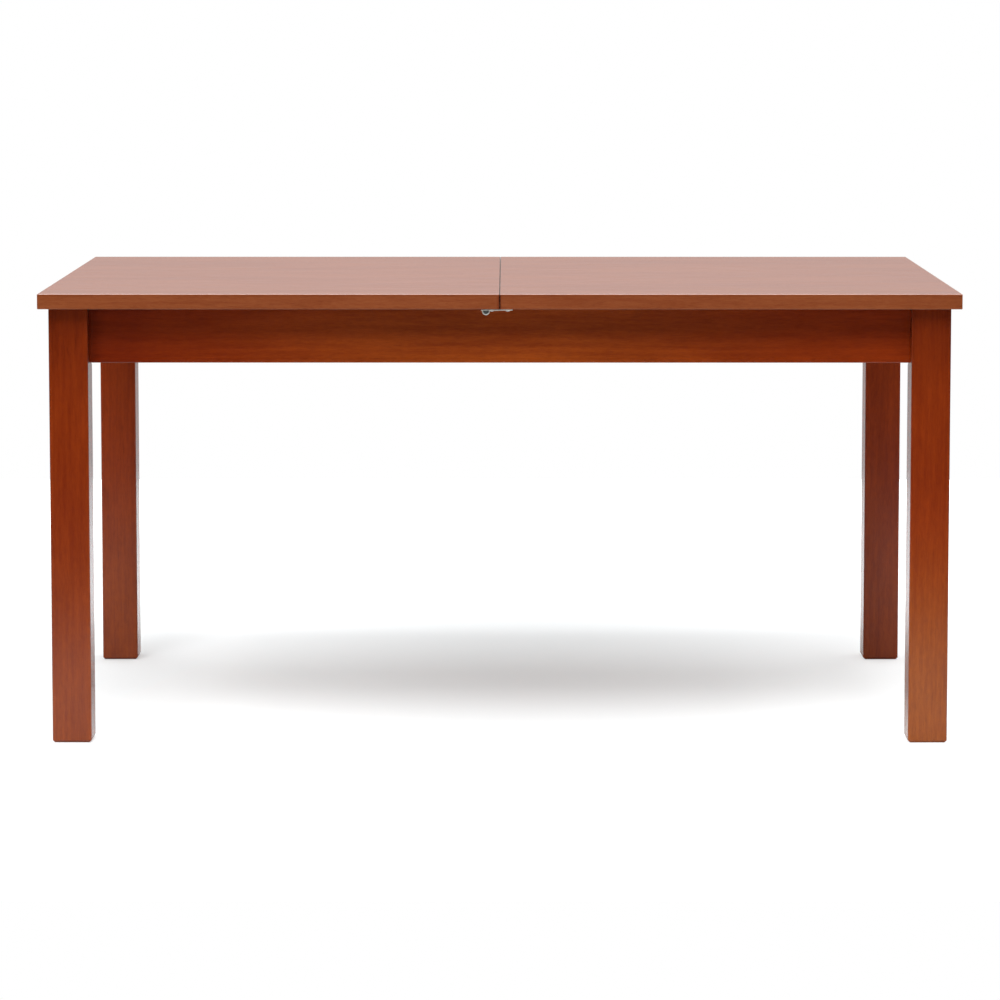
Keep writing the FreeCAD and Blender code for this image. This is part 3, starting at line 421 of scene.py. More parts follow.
def leave_edit(piece):
    bpy.ops.object.mode_set(mode="OBJECT")
    bpy.ops.object.select_all(action="DESELECT")
    return piece


def modify(piece, kind, **settings):
    """Adds a modifier and applies it."""
    activate(piece)
    made = piece.modifiers.new(kind.lower(), kind)
    for name, value in settings.items():
        setattr(made, name, value)
    bpy.ops.object.modifier_apply(modifier=made.name)
    piece.select_set(False)
    return piece


def combine(piece, other, operation):
    """Cuts the other piece out of this one, or joins it on, and removes it."""
    modify(piece, "BOOLEAN", object=other, operation=operation, solver="EXACT")
    bpy.data.objects.remove(other, do_unlink=True)
    choose_all(piece)
    bpy.ops.mesh.remove_doubles(threshold=0.000003)
    bpy.ops.mesh.dissolve_degenerate(threshold=0.000002)
    return leave_edit(piece)


def turned_on_lathe(name, profile, around=32):
    """A solid round the Z axis, extruded ring by ring; the profile is (radius, height) in metres."""
    bpy.ops.object.select_all(action="DESELECT")
    radius, height = profile[0]
    bpy.ops.mesh.primitive_circle_add(
        vertices=around, radius=radius, fill_type="NGON", location=(0.0, 0.0, height)
    )
    piece = bpy.context.object
    piece.name = name
    bpy.ops.object.transform_apply(location=True)
    bpy.ops.object.mode_set(mode="EDIT")
    bpy.ops.mesh.select_mode(type="FACE")
    bpy.ops.mesh.select_all(action="SELECT")
    for wide, level in profile[1:]:
        bpy.ops.mesh.extrude_region_move(TRANSFORM_OT_translate={"value": (0.0, 0.0, level - height)})
        growth = wide / radius
        bpy.ops.transform.resize(value=(growth, growth, 1.0), center_override=(0.0, 0.0, level))
        radius, height = wide, level
    bpy.ops.mesh.select_all(action="SELECT")
    bpy.ops.mesh.normals_make_consistent(inside=False)
    return leave_edit(piece)


def soften(piece, angle=35.0):
    activate(piece)
    bpy.ops.object.shade_smooth_by_angle(angle=math.radians(angle))
    return modify(piece, "WEIGHTED_NORMAL", keep_sharp=True, weight=80)


def whole_copy(node_name, name):
    """A copy of a node's loose triangles, merged to whole flat faces."""
    piece = bpy.data.objects.new(name, nodes[node_name].data.copy())
    bpy.context.scene.collection.objects.link(piece)
    choose_all(piece)
    if piece.data.has_custom_normals:
        bpy.ops.mesh.customdata_custom_splitnormals_clear()
    bpy.ops.mesh.remove_doubles(threshold=SAME_POINT)
    bpy.ops.mesh.dissolve_limited(angle_limit=math.radians(0.4))
    bpy.ops.mesh.select_all(action="SELECT")
    bpy.ops.mesh.normals_make_consistent(inside=False)
    return leave_edit(piece)


def drilled(piece, place, outwards):
    """Makes a counterbore round: it starts at the place and runs outwards."""
    bpy.ops.mesh.primitive_cylinder_add(
        vertices=28, radius=COUNTERBORE_RADIUS, depth=COUNTERBORE_LENGTH,
        location=place + outwards * (COUNTERBORE_LENGTH / 2),
        rotation=outwards.to_track_quat("Z", "Y").to_euler(),
    )
    drill = bpy.context.object
    bpy.ops.object.transform_apply(location=True, rotation=True)
    return combine(piece, drill, "DIFFERENCE")


def eased(piece, ease, segments=2, angle=50.0, smooth_angle=35.0):
    """Rounds the edges that are sharper than an angle."""
    modify(
        piece, "BEVEL", width=ease, segments=segments, limit_method="ANGLE",
        angle_limit=math.radians(angle), use_clamp_overlap=True, harden_normals=False,
    )
    return soften(piece, smooth_angle)


def fit(piece, body, finish, material, *replaced):
    """Gives a finished piece its body and its material, and hides the nodes that it stands for."""
    piece.data.materials.clear()
    piece.data.materials.append(material)
    for face in piece.data.polygons:
        face.material_index = 0
    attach(piece, body)
    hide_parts(*replaced)
    return piece


def beech_piece(node_name, name, body, cut, ease, screws=None):
    """Bare beech with its own grain, eased edges, and a counterbore over each screw head that is in it."""
    turn, pith, shade = cut
    low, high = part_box(node_name)
    piece = whole_copy(node_name, name)
    heads = heads_of(screws)[0] if screws else []
    for head, way in heads:
        if all(low[i] < head[i] < high[i] for i in range(3)):
            drilled(piece, head, -way)
    eased(piece, ease)
    wood = bare_beech("bare beech " + name, turn, (low + high) / 2 + Vector(pith), shade)
    return fit(piece, body, "bare_hardwood", wood, node_name)


for corner, cut in BLOCK_CUTS.items():
    block, planed = "corner_block_" + corner, "planed_block_" + corner
    beech_piece(block, planed, "frame", cut, BLOCK_EASE, "corner_block_screws")


# Corner block screws. Sixteen countersunk steel screws with cross recesses, zinc plated, driven through the
# blocks' ends into the aprons. All the table's wood screws are of this kind, in several lengths.
ZINC_LIGHT = (0.60, 0.61, 0.63, 1.0)
ZINC_DARK = (0.50, 0.52, 0.545, 1.0)
ZINC_TINT = (0.56, 0.55, 0.46, 1.0)
ZINC_ROUGH, ZINC_RELIEF = 0.30, 0.12
METAL_RELIEF = 0.00003
PATCHES = (0.0045, 0.0045, 0.35, 0.65, 3.0)
TINTED = (0.0080, 0.0060, 0.52, 0.72, 1.0)
PITS = (0.0005, 0.0005, 0.60, 0.78, 2.0)
SCRATCHES = (0.0060, 0.0002, 0.45, 0.75, 1.0)
TINTED_SHARE, PIT_SHARE = 0.5, 0.45
PATCH_ROUGH, SCRATCH_ROUGH, SCRATCH_HEIGHT = 0.08, 0.10, -0.25
SCREW_CREST, SCREW_ROOT, SCREW_PITCH = 0.0020, 0.00142, 0.0018
SCREW_HEAD, SCREW_HEAD_HEIGHT, SCREW_FILLET = 0.0042, 0.0024, 0.0005
# How far each ring of the head's rim lies inside its edge, and above its flat.
SCREW_RIM = [(0.00012, -0.0003), (0.0, -0.00018), (0.00008, 0.0)]
SCREW_SHANK_SHARE, SCREW_SMOOTH_SHARE, SCREW_RUNOUT = 0.86, 0.35, 0.0004
RECESS_ARM, RECESS_WIDTH, RECESS_DEPTH, RECESS_TAPER = 0.0024, 0.00085, 0.0016, 0.45
TIP_LENGTH, TIP_RADIUS, TIP_BARE_SHARE = 0.0034, 0.00012, 0.6
CORE_SHARE = 0.97
TURN_BETWEEN_SCREWS = 0.9


def metal_surface():
    """Plated or turned metal: cloudy patches of two tones, spots of a third, pits and fine scratches."""
    tree, given, result = new_group("metal surface", {
        "Light": (0.7, 0.7, 0.7, 1.0), "Dark": (0.5, 0.5, 0.5, 1.0), "Tint": (0.6, 0.6, 0.5, 1.0),
        "Rough": 0.3,
    })
    patches, tinted, pits, lines = (
        streaks(tree, given["Place"], *figure) for figure in (PATCHES, TINTED, PITS, SCRATCHES)
    )
    colour = blend_colours(tree, patches, given["Dark"], given["Light"])
    colour = blend_colours(tree, times(tree, tinted, TINTED_SHARE), colour, given["Tint"])
    colour = blend_colours(tree, times(tree, pits, PIT_SHARE), colour, given["Dark"], "MULTIPLY")
    tree.links.new(colour, result["Colour"])
    rough = plus(tree, given["Rough"], times(tree, patches, PATCH_ROUGH))
    tree.links.new(plus(tree, rough, times(tree, lines, SCRATCH_ROUGH)), result["Roughness"])
    height = calculate(tree, "SUBTRACT", times(tree, lines, SCRATCH_HEIGHT), pits)
    tree.links.new(height, result["Height"])
    return tree


METAL = metal_surface()


def metal(name, light, dark, tint, rough, relief, metallic=1.0):
    material, shader = material_from(
        name, METAL, relief, METAL_RELIEF, Light=light, Dark=dark, Tint=tint, Rough=rough
    )
    shader.inputs["Metallic"].default_value = metallic
    return material


ZINC = metal("zinc plated steel", ZINC_LIGHT, ZINC_DARK, ZINC_TINT, ZINC_ROUGH, ZINC_RELIEF)


def threaded_rod(low, high, crest, root, pitch, around=14):
    """A rod with a helical thread, cut square at both ends; it stands on the Z axis."""
    bpy.ops.object.select_all(action="DESELECT")
    bpy.ops.mesh.primitive_circle_add(vertices=4, radius=1.0, rotation=(math.radians(90), 0.0, 0.0))
    piece = bpy.context.object
    bpy.ops.object.transform_apply(rotation=True)
    choose(piece, lambda corner: corner.co.x < -0.5, "VERT")
    bpy.ops.mesh.delete(type="VERT")
    bpy.ops.mesh.select_all(action="SELECT")
    bpy.ops.transform.resize(value=(crest - root, 1.0, pitch / 2), center_override=(0.0, 0.0, 0.0))
    bpy.ops.transform.translate(value=(root, 0.0, low - pitch))
    leave_edit(piece)
    turns = math.ceil((high - low) / pitch) + 2
    modify(
        piece, "SCREW", axis="Z", angle=2 * math.pi, screw_offset=pitch, iterations=turns,
        steps=around, render_steps=around, use_merge_vertices=True, merge_threshold=0.000001,
    )
    choose_all(piece)
    bpy.ops.mesh.remove_doubles(threshold=0.000001)
    for level, way in ((low, -1.0), (high, 1.0)):
        bpy.ops.mesh.select_all(action="SELECT")
        bpy.ops.mesh.bisect(
            plane_co=(0.0, 0.0, level), plane_no=(0.0, 0.0, way), use_fill=True, clear_outer=True,
            threshold=0.0000001,
        )
    bpy.ops.mesh.select_all(action="SELECT")
    bpy.ops.mesh.normals_make_consistent(inside=False)
    return leave_edit(piece)


def resize_part(piece, wanted, factors, centre, kind="FACE", more=False):
    """Scales the chosen part of a piece about a centre; more takes in the faces round it."""
    choose(piece, wanted, kind)
    if more:
        bpy.ops.mesh.select_more()
    bpy.ops.transform.resize(value=factors, center_override=centre)
    return leave_edit(piece)


def plain_block(size, place=(0.0, 0.0, 0.0), angle=0.0):
    bpy.ops.mesh.primitive_cube_add(size=1.0, location=place, rotation=(0.0, 0.0, angle))
    piece = bpy.context.object
    piece.scale = size
    bpy.ops.object.transform_apply(location=True, rotation=True, scale=True)
    return piece


def cross_recessed(piece):
    """Cuts the arms of a driver's recess into a head whose top is at the origin."""
    for angle in (0.0, math.radians(90)):
        cutter = plain_block((2 * RECESS_ARM, RECESS_WIDTH, 2 * RECESS_DEPTH), angle=angle)
        taper, bottom = (RECESS_TAPER, RECESS_TAPER, 1.0), (0.0, 0.0, -RECESS_DEPTH)
        resize_part(cutter, lambda face: face.normal.z < -0.5, taper, bottom)
        combine(piece, cutter, "DIFFERENCE")
    return soften(piece)


def rings(radius, level, steps):
    """Part of a profile; each step goes inside the radius and above the level."""
    return [(radius - inside, level + above) for inside, above in steps]


def countersunk_screw(length):
    """The screw points down the Z axis, with the flat of its head at the origin."""
    core, shank = SCREW_ROOT * CORE_SHARE, SCREW_CREST * SCREW_SHANK_SHARE
    smooth, neck = -length * SCREW_SMOOTH_SHARE, -SCREW_HEAD_HEIGHT
    screw = turned_on_lathe("screw", [
        (TIP_RADIUS, -length), (core, TIP_LENGTH - length), (core, smooth - SCREW_RUNOUT), (shank, smooth),
        (shank, neck - SCREW_FILLET), (SCREW_CREST, neck),
    ] + rings(SCREW_HEAD, 0.0, SCREW_RIM), 28)
    start = TIP_LENGTH * TIP_BARE_SHARE - length
    thread = threaded_rod(start, smooth, SCREW_CREST, SCREW_ROOT, SCREW_PITCH)
    return cross_recessed(combine(screw, thread, "UNION"))


def set_in_place(model, places, name, spin=TURN_BETWEEN_SCREWS):
    """Copies of one model, each with its origin and its direction, joined to one piece."""
    copies = []
    for number, (place, towards) in enumerate(places):
        copy = model.copy()
        copy.data = model.data.copy()
        bpy.context.scene.collection.objects.link(copy)
        turn = towards.to_track_quat("-Z", "Y").to_matrix().to_4x4()
        copy.matrix_world = Matrix.Translation(place) @ turn @ Matrix.Rotation(spin * number, 4, "Z")
        copies.append(copy)
    bpy.data.objects.remove(model, do_unlink=True)
    bpy.ops.object.select_all(action="DESELECT")
    for copy in copies:
        copy.select_set(True)
    bpy.context.view_layer.objects.active = copies[0]
    bpy.ops.object.transform_apply(location=True, rotation=True, scale=True)
    if len(copies) > 1:
        bpy.ops.object.join()
    bpy.ops.object.select_all(action="DESELECT")
    copies[0].name = name
    return copies[0]


def fasten(node_name, name, body, make, finish="zinc_steel", material=ZINC):
    """Replaces a node's plain fasteners by real ones of the same length, in the same places."""
    places, length = heads_of(node_name)
    return fit(set_in_place(make(length), places, name), body, finish, material, node_name)


fasten("corner_block_screws", "block_screws", "frame", countersunk_screw)


# Hanger bolts. Four steel bolts with a coarse wood thread in the leg and a machine thread at the other end,
# which passes through the corner block and takes a washer and a hexagon nut.
BOLT_CREST, BOLT_ROOT, BOLT_PITCH = 0.0040, 0.0034, 0.00125
BOLT_WOOD_THREAD, BOLT_WOOD_PITCH = 0.034, 0.0028
BOLT_MACHINE_THREAD = 0.042
BOLT_RUNOUT, BOLT_OVERLAP = 0.0006, 0.0002
BOLT_POINT, BOLT_POINT_LENGTH, BOLT_POINT_BARE = 0.0007, 0.004, 0.003
BOLT_TAIL_BARE = 0.0009
# The shank as a share of the crest, and the point's neck, the tail and the wood thread's root of the root.
BOLT_SHANK_SHARE, BOLT_NECK_SHARE, BOLT_TAIL_SHARE, WOOD_ROOT_SHARE = 0.98, 0.9, 0.85, 0.95


def way_out(corners):
    """The level way from the table's middle towards the corner that a solid is at."""
    middle = sum(corners, Vector()) / len(corners)
    return Vector((math.copysign(1.0, middle.x), math.copysign(1.0, middle.y), 0.0)).normalized()


def hanger_bolt(length):
    """The bolt points down the Z axis, with the end that takes the nut at the origin."""
    core, shank = BOLT_ROOT * CORE_SHARE, BOLT_CREST * BOLT_SHANK_SHARE
    wood, machine = BOLT_WOOD_THREAD - length, -BOLT_MACHINE_THREAD
    bolt = turned_on_lathe("bolt", [
        (BOLT_POINT, -length), (BOLT_ROOT * BOLT_NECK_SHARE, BOLT_POINT_LENGTH - length), (core, wood),
        (shank, wood + BOLT_RUNOUT), (shank, machine - BOLT_RUNOUT), (core, machine), (core, -BOLT_RUNOUT),
        (BOLT_ROOT * BOLT_TAIL_SHARE, 0.0),
    ])
    thread = threaded_rod(machine - BOLT_OVERLAP, -BOLT_TAIL_BARE, BOLT_CREST, BOLT_ROOT, BOLT_PITCH, 20)
    combine(bolt, thread, "UNION")
    start, root = BOLT_POINT_BARE - length, BOLT_ROOT * WOOD_ROOT_SHARE
    thread = threaded_rod(start, wood + BOLT_OVERLAP, BOLT_CREST, root, BOLT_WOOD_PITCH, 16)
    return soften(combine(bolt, thread, "UNION"))


bolt_places = []
for corners in solids_of("hanger_bolts"):
    way = way_out(corners)
    buried, tail = ends_of(corners, way)
    bolt_places.append((tail, way))
bolt = hanger_bolt((buried - tail).length)
fit(set_in_place(bolt, bolt_places, "threaded_hanger_bolts"), "frame", "zinc_steel", ZINC, "hanger_bolts")


# Washers and nuts of the hanger bolts. Flat pressed washers with rolled edges, and hexagon nuts with the
# corners turned off at both faces. All are zinc plated steel.
WASHER_RADIUS, WASHER_BORE = 0.0090, 0.0045
ROLLED_EDGE_SHARE = 0.22
NUT_ACROSS_FLATS = 0.013
NUT_CORNERS_OFF, NUT_FACE_INSET, NUT_CLEAR = 0.0008, 0.0002, 0.0001
NUT_BORE, NUT_MOUTH = BOLT_CREST + 0.00005, BOLT_CREST + 0.0007
NUT_MOUTH_DEPTH, NUT_OVERRUN = 0.0004, 0.0003


def flat_washer(outer, inner, thickness):
    """A ring on the Z axis, from the origin down."""
    edge = thickness * ROLLED_EDGE_SHARE
    ring = turned_on_lathe("ring", [
        (outer - edge, -thickness), (outer, edge - thickness), (outer, -edge), (outer - edge, 0.0),
    ], 40)
    bpy.ops.mesh.primitive_cylinder_add(vertices=32, radius=inner, depth=4 * thickness)
    return soften(combine(ring, bpy.context.object, "DIFFERENCE"))


def hexagon_nut(height):
    """The nut hangs under the origin on the Z axis."""
    flat = NUT_ACROSS_FLATS / 2
    corner = flat / math.cos(math.pi / 6)
    nut = turned_on_lathe("nut", [(corner, -height), (corner, 0.0)], 6)
    face, clear = flat - NUT_FACE_INSET, corner + NUT_CLEAR
    rounding = turned_on_lathe("rounding", [
        (face, -height), (clear, NUT_CORNERS_OFF - height), (clear, -NUT_CORNERS_OFF), (face, 0.0),
    ], 48)
    combine(nut, rounding, "INTERSECT")
    bore = turned_on_lathe("bore", [
        (NUT_MOUTH, -height - NUT_OVERRUN), (NUT_BORE, NUT_MOUTH_DEPTH - height),
        (NUT_BORE, -NUT_MOUTH_DEPTH), (NUT_MOUTH, NUT_OVERRUN),
    ])
    return soften(combine(nut, bore, "DIFFERENCE"), 25.0)


def seats_of(node_name):
    """The middle of each ring's face nearer the table's middle, and its way out. Then a ring's height."""
    seats = []
    for corners in solids_of(node_name):
        way = way_out(corners)
        reach = [c.dot(way) for c in corners]
        near = [c for c, r in zip(corners, reach) if r - min(reach) < SAME_LEVEL]
        seats.append((sum(near, Vector()) / len(near), way, max(reach) - min(reach)))
    return [(place, way) for place, way, _ in seats], seats[0][2]


places, thickness = seats_of("hanger_washers")
washers = set_in_place(flat_washer(WASHER_RADIUS, WASHER_BORE, thickness), places, "pressed_washers")
fit(washers, "frame", "zinc_steel", ZINC, "hanger_washers")
places, height = seats_of("hanger_nuts")
nuts = set_in_place(hexagon_nut(height), places, "hexagon_nuts")
fit(nuts, "frame", "zinc_steel", ZINC, "hanger_nuts")


# Cross rails. Two planed beech rails between the long aprons, left bare. Their ends are stepped down under
# the slide beams, and each is counterbored from below for the two screws into the beams.
RAIL_EASE = 0.0012
RAIL_CUTS = {
    "left": (GRAIN_CROSSWISE, (-0.045, 0.0, 0.010), 0.97),
    "right": (GRAIN_CROSSWISE, (0.030, 0.0, -0.055), 1.03),
}

for side, cut in RAIL_CUTS.items():
    beech_piece("cross_rail_" + side, "planed_rail_" + side, "frame", cut, RAIL_EASE, "slide_beam_screws")


# Slide beams. Two beech beams on the cross rails, with a dovetailed groove ploughed along each side, where
# the runners of the two tops slide. They are bare, and the grooves are rubbed with wax.
BEAM_EASE = 0.0010
BEAM_CUTS = {
    "front": (GRAIN_LENGTHWISE, (0.0, 0.040, 0.030), 1.00),
    "rear": (GRAIN_LENGTHWISE, (0.0, -0.055, 0.020), 0.95),
}

for side, cut in BEAM_CUTS.items():
    beech_piece("slide_beam_" + side, "grooved_beam_" + side, "frame", cut, BEAM_EASE)

fasten("slide_beam_screws", "beam_screws", "frame", countersunk_screw)


# Leaf battens. Two strips of bare beech on which the folded leaf rests. They are screwed to the inner faces
# of the cross rails.
BATTEN_CUTS = {
    "left": (GRAIN_CROSSWISE, (0.020, 0.0, 0.035), 1.04),
    "right": (GRAIN_CROSSWISE, (-0.030, 0.0, 0.025), 0.98),
}

for side, cut in BATTEN_CUTS.items():
    beech_piece("leaf_batten_" + side, "planed_batten_" + side, "frame", cut, RAIL_EASE)

fasten("leaf_batten_screws", "batten_screws", "frame", countersunk_screw)


# Bearing plates. Two zinc plated steel plates on the rails, in which the leaf's pins turn, each held by two
# pan head screws.
PLATE_EASE = 0.0004
PLATE_CREST, PLATE_ROOT, PLATE_PITCH = 0.00175, 0.00125, 0.0014
PLATE_POINT, PLATE_POINT_BARE, PLATE_RUNOUT, PLATE_BARE = 0.0028, 0.0018, 0.0002, 0.0001
PLATE_HEAD, PLATE_HEAD_HEIGHT = 0.0035, 0.0016
# How far each ring of the head lies inside its edge, and above its seat.
PAN_DOME = [
    (0.0002, 0.0), (0.0, 0.0002), (0.0001, 0.0006), (0.0005, 0.0010), (0.0012, 0.00138), (0.0021, 0.00154),
    (0.0030, PLATE_HEAD_HEIGHT),
]

for side in ("left", "right"):
    plate = eased(whole_copy("pivot_plate_" + side, "stamped_plate_" + side), PLATE_EASE)
    fit(plate, "frame", "zinc_steel", ZINC, "pivot_plate_" + side)


def pan_screw(length):
    """The screw points down the Z axis, with the top of its domed head at the origin."""
    core, seat = PLATE_ROOT * CORE_SHARE, -PLATE_HEAD_HEIGHT
    screw = turned_on_lathe("pan screw", [
        (TIP_RADIUS, -length), (core, PLATE_POINT - length), (core, seat - PLATE_RUNOUT), (PLATE_ROOT, seat),
    ] + rings(PLATE_HEAD, seat, PAN_DOME), 28)
    start, end = PLATE_POINT_BARE - length, seat - PLATE_BARE
    thread = threaded_rod(start, end, PLATE_CREST, PLATE_ROOT, PLATE_PITCH, 12)
    return cross_recessed(combine(screw, thread, "UNION"))


fasten("pivot_plate_screws", "plate_screws", "frame", pan_screw)


# Top. Two halves of veneered board, with the veneer's grain along the table and a solid lipping all round,
# stained and lacquered as the frame is. The lipping's upper edges carry a painted highlight, a paler line,
# and darker stain has run in at the cut ends, where the seam's shade is painted almost black on the arrises.
TOP_LIGHT = (0.228, 0.061, 0.0190, 1.0)
TOP_DARK = (0.160, 0.034, 0.0090, 1.0)
TOP_RINGS = 0.10
TOP_SHIFTS = {"left": -0.13, "right": 0.17}
TOP_PITH_HEIGHT = 0.42
# Under the face: where the edge's stain starts, where it is full, and where its darker band ends.
STAIN_STARTS, STAIN_FULL, BAND_ENDS = 0.0015, 0.0030, 0.0050
BAND_TINT = (0.86, 0.78, 0.72, 1.0)
SEAM_STAIN = (0.110, 0.0140, 0.0030, 1.0)
SEAM_REACH, SEAM_FULL, SEAM_SHARE = {"left": 0.0065, "right": 0.0040}, 0.0010, 0.55
# A painted highlight: a paler line along the upper edges of the lipping.
PAINTED_EDGE_HIGHLIGHT = (0.44, 0.31, 0.28, 1.0)
EDGE_HIGHLIGHT_REACH, EDGE_HIGHLIGHT_FULL, EDGE_HIGHLIGHT_SHARE = 0.0018, 0.0009, 0.5
EDGE_HIGHLIGHT_DEPTH, EDGE_HIGHLIGHT_DEPTH_FULL = 0.0014, 0.0008
# The seam's painted shade: the arris beside it is darkened almost to black.
ARRIS_PAINTED_SHADE = (0.014, 0.0042, 0.0030, 1.0)
ARRIS_REACH, ARRIS_FULL_SHARE, ARRIS_SHARE = 0.0017, 0.42, 0.9
ARRIS_OFF_END, ARRIS_OFF_END_FULL = 0.00003, 0.00010
ARRIS_DEPTH, ARRIS_DEPTH_FULL = 0.0002, 0.0009


def veneered(name, shift, pith_height):
    return lacquered(name, GRAIN_LENGTHWISE, (0.0, shift, pith_height), 1.0, TOP_LIGHT, TOP_DARK, TOP_RINGS)


def stain_and_paint_edges(material, side, low, high):
    """Darker stain at the seam end, a painted highlight on the upper edges, and painted seam shade on its
    arris.
    """
    seam_end, outer_end = sorted((abs(low.x), abs(high.x)))

    def change(tree, colour):
        along, across, height = object_axes(tree)
        along, across = calculate(tree, "ABSOLUTE", along), calculate(tree, "ABSOLUTE", across)
        below = ramp(tree, height, high.z - STAIN_STARTS, high.z - STAIN_FULL)
        band = times(tree, ramp(tree, height, high.z - BAND_ENDS, high.z - STAIN_FULL), below)
        colour = blend_colours(tree, band, colour, BAND_TINT, "MULTIPLY")
        seam = times(tree, ramp(tree, along, SEAM_REACH[side], SEAM_FULL), below)
        colour = blend_colours(tree, times(tree, seam, SEAM_SHARE), colour, SEAM_STAIN)

        # Painted highlight along the upper edges.
        long_edge = ramp(tree, across, high.y - EDGE_HIGHLIGHT_REACH, high.y - EDGE_HIGHLIGHT_FULL)
        short_edge = ramp(tree, along, outer_end - EDGE_HIGHLIGHT_REACH, outer_end - EDGE_HIGHLIGHT_FULL)
        edge_highlight = ramp(tree, height, high.z - EDGE_HIGHLIGHT_DEPTH, high.z - EDGE_HIGHLIGHT_DEPTH_FULL)
        edge_highlight = times(tree, calculate(tree, "MAXIMUM", long_edge, short_edge), edge_highlight)
        colour = blend_colours(tree, times(tree, edge_highlight, EDGE_HIGHLIGHT_SHARE), colour, PAINTED_EDGE_HIGHLIGHT)
        # Painted shade of the seam on the arris beside it.
        seam_shade = ramp(tree, along, ARRIS_REACH, ARRIS_REACH * ARRIS_FULL_SHARE)
        off_end = ramp(tree, along, seam_end + ARRIS_OFF_END, seam_end + ARRIS_OFF_END_FULL)
        depth = ramp(tree, height, high.z - ARRIS_DEPTH, high.z - ARRIS_DEPTH_FULL)
        seam_shade = times(tree, times(tree, seam_shade, off_end), depth)
        return blend_colours(tree, times(tree, seam_shade, ARRIS_SHARE), colour, ARRIS_PAINTED_SHADE)

    recolour(material, change)


for side, shift in TOP_SHIFTS.items():
    veneer = veneered("lacquered top " + side, shift, TOP_PITH_HEIGHT)
    stain_and_paint_edges(veneer, side, *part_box("top_panel_" + side))
    wear("top_panel_" + side, veneer)


# Seam bead. A thin strip glued along the right half's meeting edge just under its face, coloured almost
# black as painted shade in the seam. It closes the seam between the two halves to the light.
# Almost black, as painted shade in the seam.
BEAD_SHADE_LIGHT = (0.020, 0.0075, 0.0050, 1.0)
BEAD_SHADE_DARK = (0.012, 0.0045, 0.0030, 1.0)
BEAD_RINGS, BEAD_PITH = 0.1, (0.0, 0.0, 0.71)
BEAD_THICKNESS, BEAD_HEIGHT, BEAD_EASE_SHARE = 0.00055, 0.0060, 0.35
BEAD_SUNK, BEAD_UNDER_FACE, BEAD_FROM_END = 0.00002, 0.0007, 0.0022

low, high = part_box("top_panel_right")
bead = plain_block(
    (BEAD_THICKNESS, high.y - low.y - 2 * BEAD_FROM_END, BEAD_HEIGHT),
    (low.x - BEAD_THICKNESS / 2 + BEAD_SUNK, 0.0, high.z - BEAD_UNDER_FACE - BEAD_HEIGHT / 2),
)
bead.name = "seam_bead"
eased(bead, BEAD_THICKNESS * BEAD_EASE_SHARE, 2, 40.0)
bead_painted_shade = lacquered("bead painted as seam shade", GRAIN_CROSSWISE, BEAD_PITH, 1.0, BEAD_SHADE_LIGHT, BEAD_SHADE_DARK, BEAD_RINGS)
fit(bead, "top_right", "top_lacquer", bead_painted_shade)


# Runners. Two beech runners screwed under each half of the top, with a dovetailed tongue that rides in the
# beam beside it. They are bare, with bevelled ends, and counterbored from below for three screws each.
RUNNER_EASE = 0.0008
RUNNER_CUTS = {
    "outer_left": (GRAIN_LENGTHWISE, (0.0, 0.035, 0.030), 1.00),
    "inner_left": (GRAIN_LENGTHWISE, (0.0, -0.040, 0.022), 1.05),
    "outer_right": (GRAIN_LENGTHWISE, (0.0, -0.030, 0.045), 0.96),
    "inner_right": (GRAIN_LENGTHWISE, (0.0, 0.050, 0.015), 1.02),
}

for name, cut in RUNNER_CUTS.items():
    side = name.split("_")[1]
    body, screws = "top_" + side, "runner_screws_" + side
    beech_piece("runner_" + name, "dovetailed_runner_" + name, body, cut, RUNNER_EASE, screws)

for side in ("left", "right"):
    fasten("runner_screws_" + side, "top_screws_" + side, "top_" + side, countersunk_screw)


# Stop blocks. Small blocks of bare beech, one glued under each runner. They meet a cross rail at the end of
# the top's stroke.
STOP_CUTS = {
    "left": (GRAIN_LENGTHWISE, (0.03, 0.02, 0.03), 1.02),
    "right": (GRAIN_LENGTHWISE, (-0.02, 0.03, 0.02), 0.98),
}

for side, cut in STOP_CUTS.items():
    beech_piece("stop_blocks_" + side, "glued_stops_" + side, "top_" + side, cut, RUNNER_EASE)


# Alignment pins of the top. Turned beech dowels, glued into holes in the edges that meet. Their free ends are
# rounded to find the holes of the other half.
DOWEL_RADIUS, DOWEL_CHAMFER = 0.0040, 0.0008
# How far each ring of the free end lies inside the dowel's side, and above its tip.
DOWEL_END = [(0.0, -0.0026), (0.0003, -0.0017), (0.0009, -0.0009), (0.0019, -0.0003), (0.0032, 0.0)]
DOWEL_PITH, DOWEL_SHADE = (0.0, 0.006, 0.009), 1.06


def dowels_for(node_name, name, body):
    """Replaces a node's plain pins by turned dowels, whose buried ends are chamfered."""
    ends = [ends_of(corners) for corners in solids_of(node_name)]
    length = (ends[0][0] - ends[0][1]).length
    dowel = soften(turned_on_lathe("dowel", [
        (DOWEL_RADIUS - DOWEL_CHAMFER, -length), (DOWEL_RADIUS, DOWEL_CHAMFER - length),
    ] + rings(DOWEL_RADIUS, 0.0, DOWEL_END), 36), 40.0)
    low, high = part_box(node_name)
    pith = (low + high) / 2 + Vector(DOWEL_PITH)
    wood = bare_beech("bare beech " + name, GRAIN_LENGTHWISE, pith, DOWEL_SHADE)
    made = set_in_place(dowel, [(free, (buried - free).normalized()) for buried, free in ends], name)
    return fit(made, body, "bare_hardwood", wood, node_name)


for side in ("left", "right"):
    dowels_for("edge_pins_" + side, "dowels_top_" + side, "top_" + side)


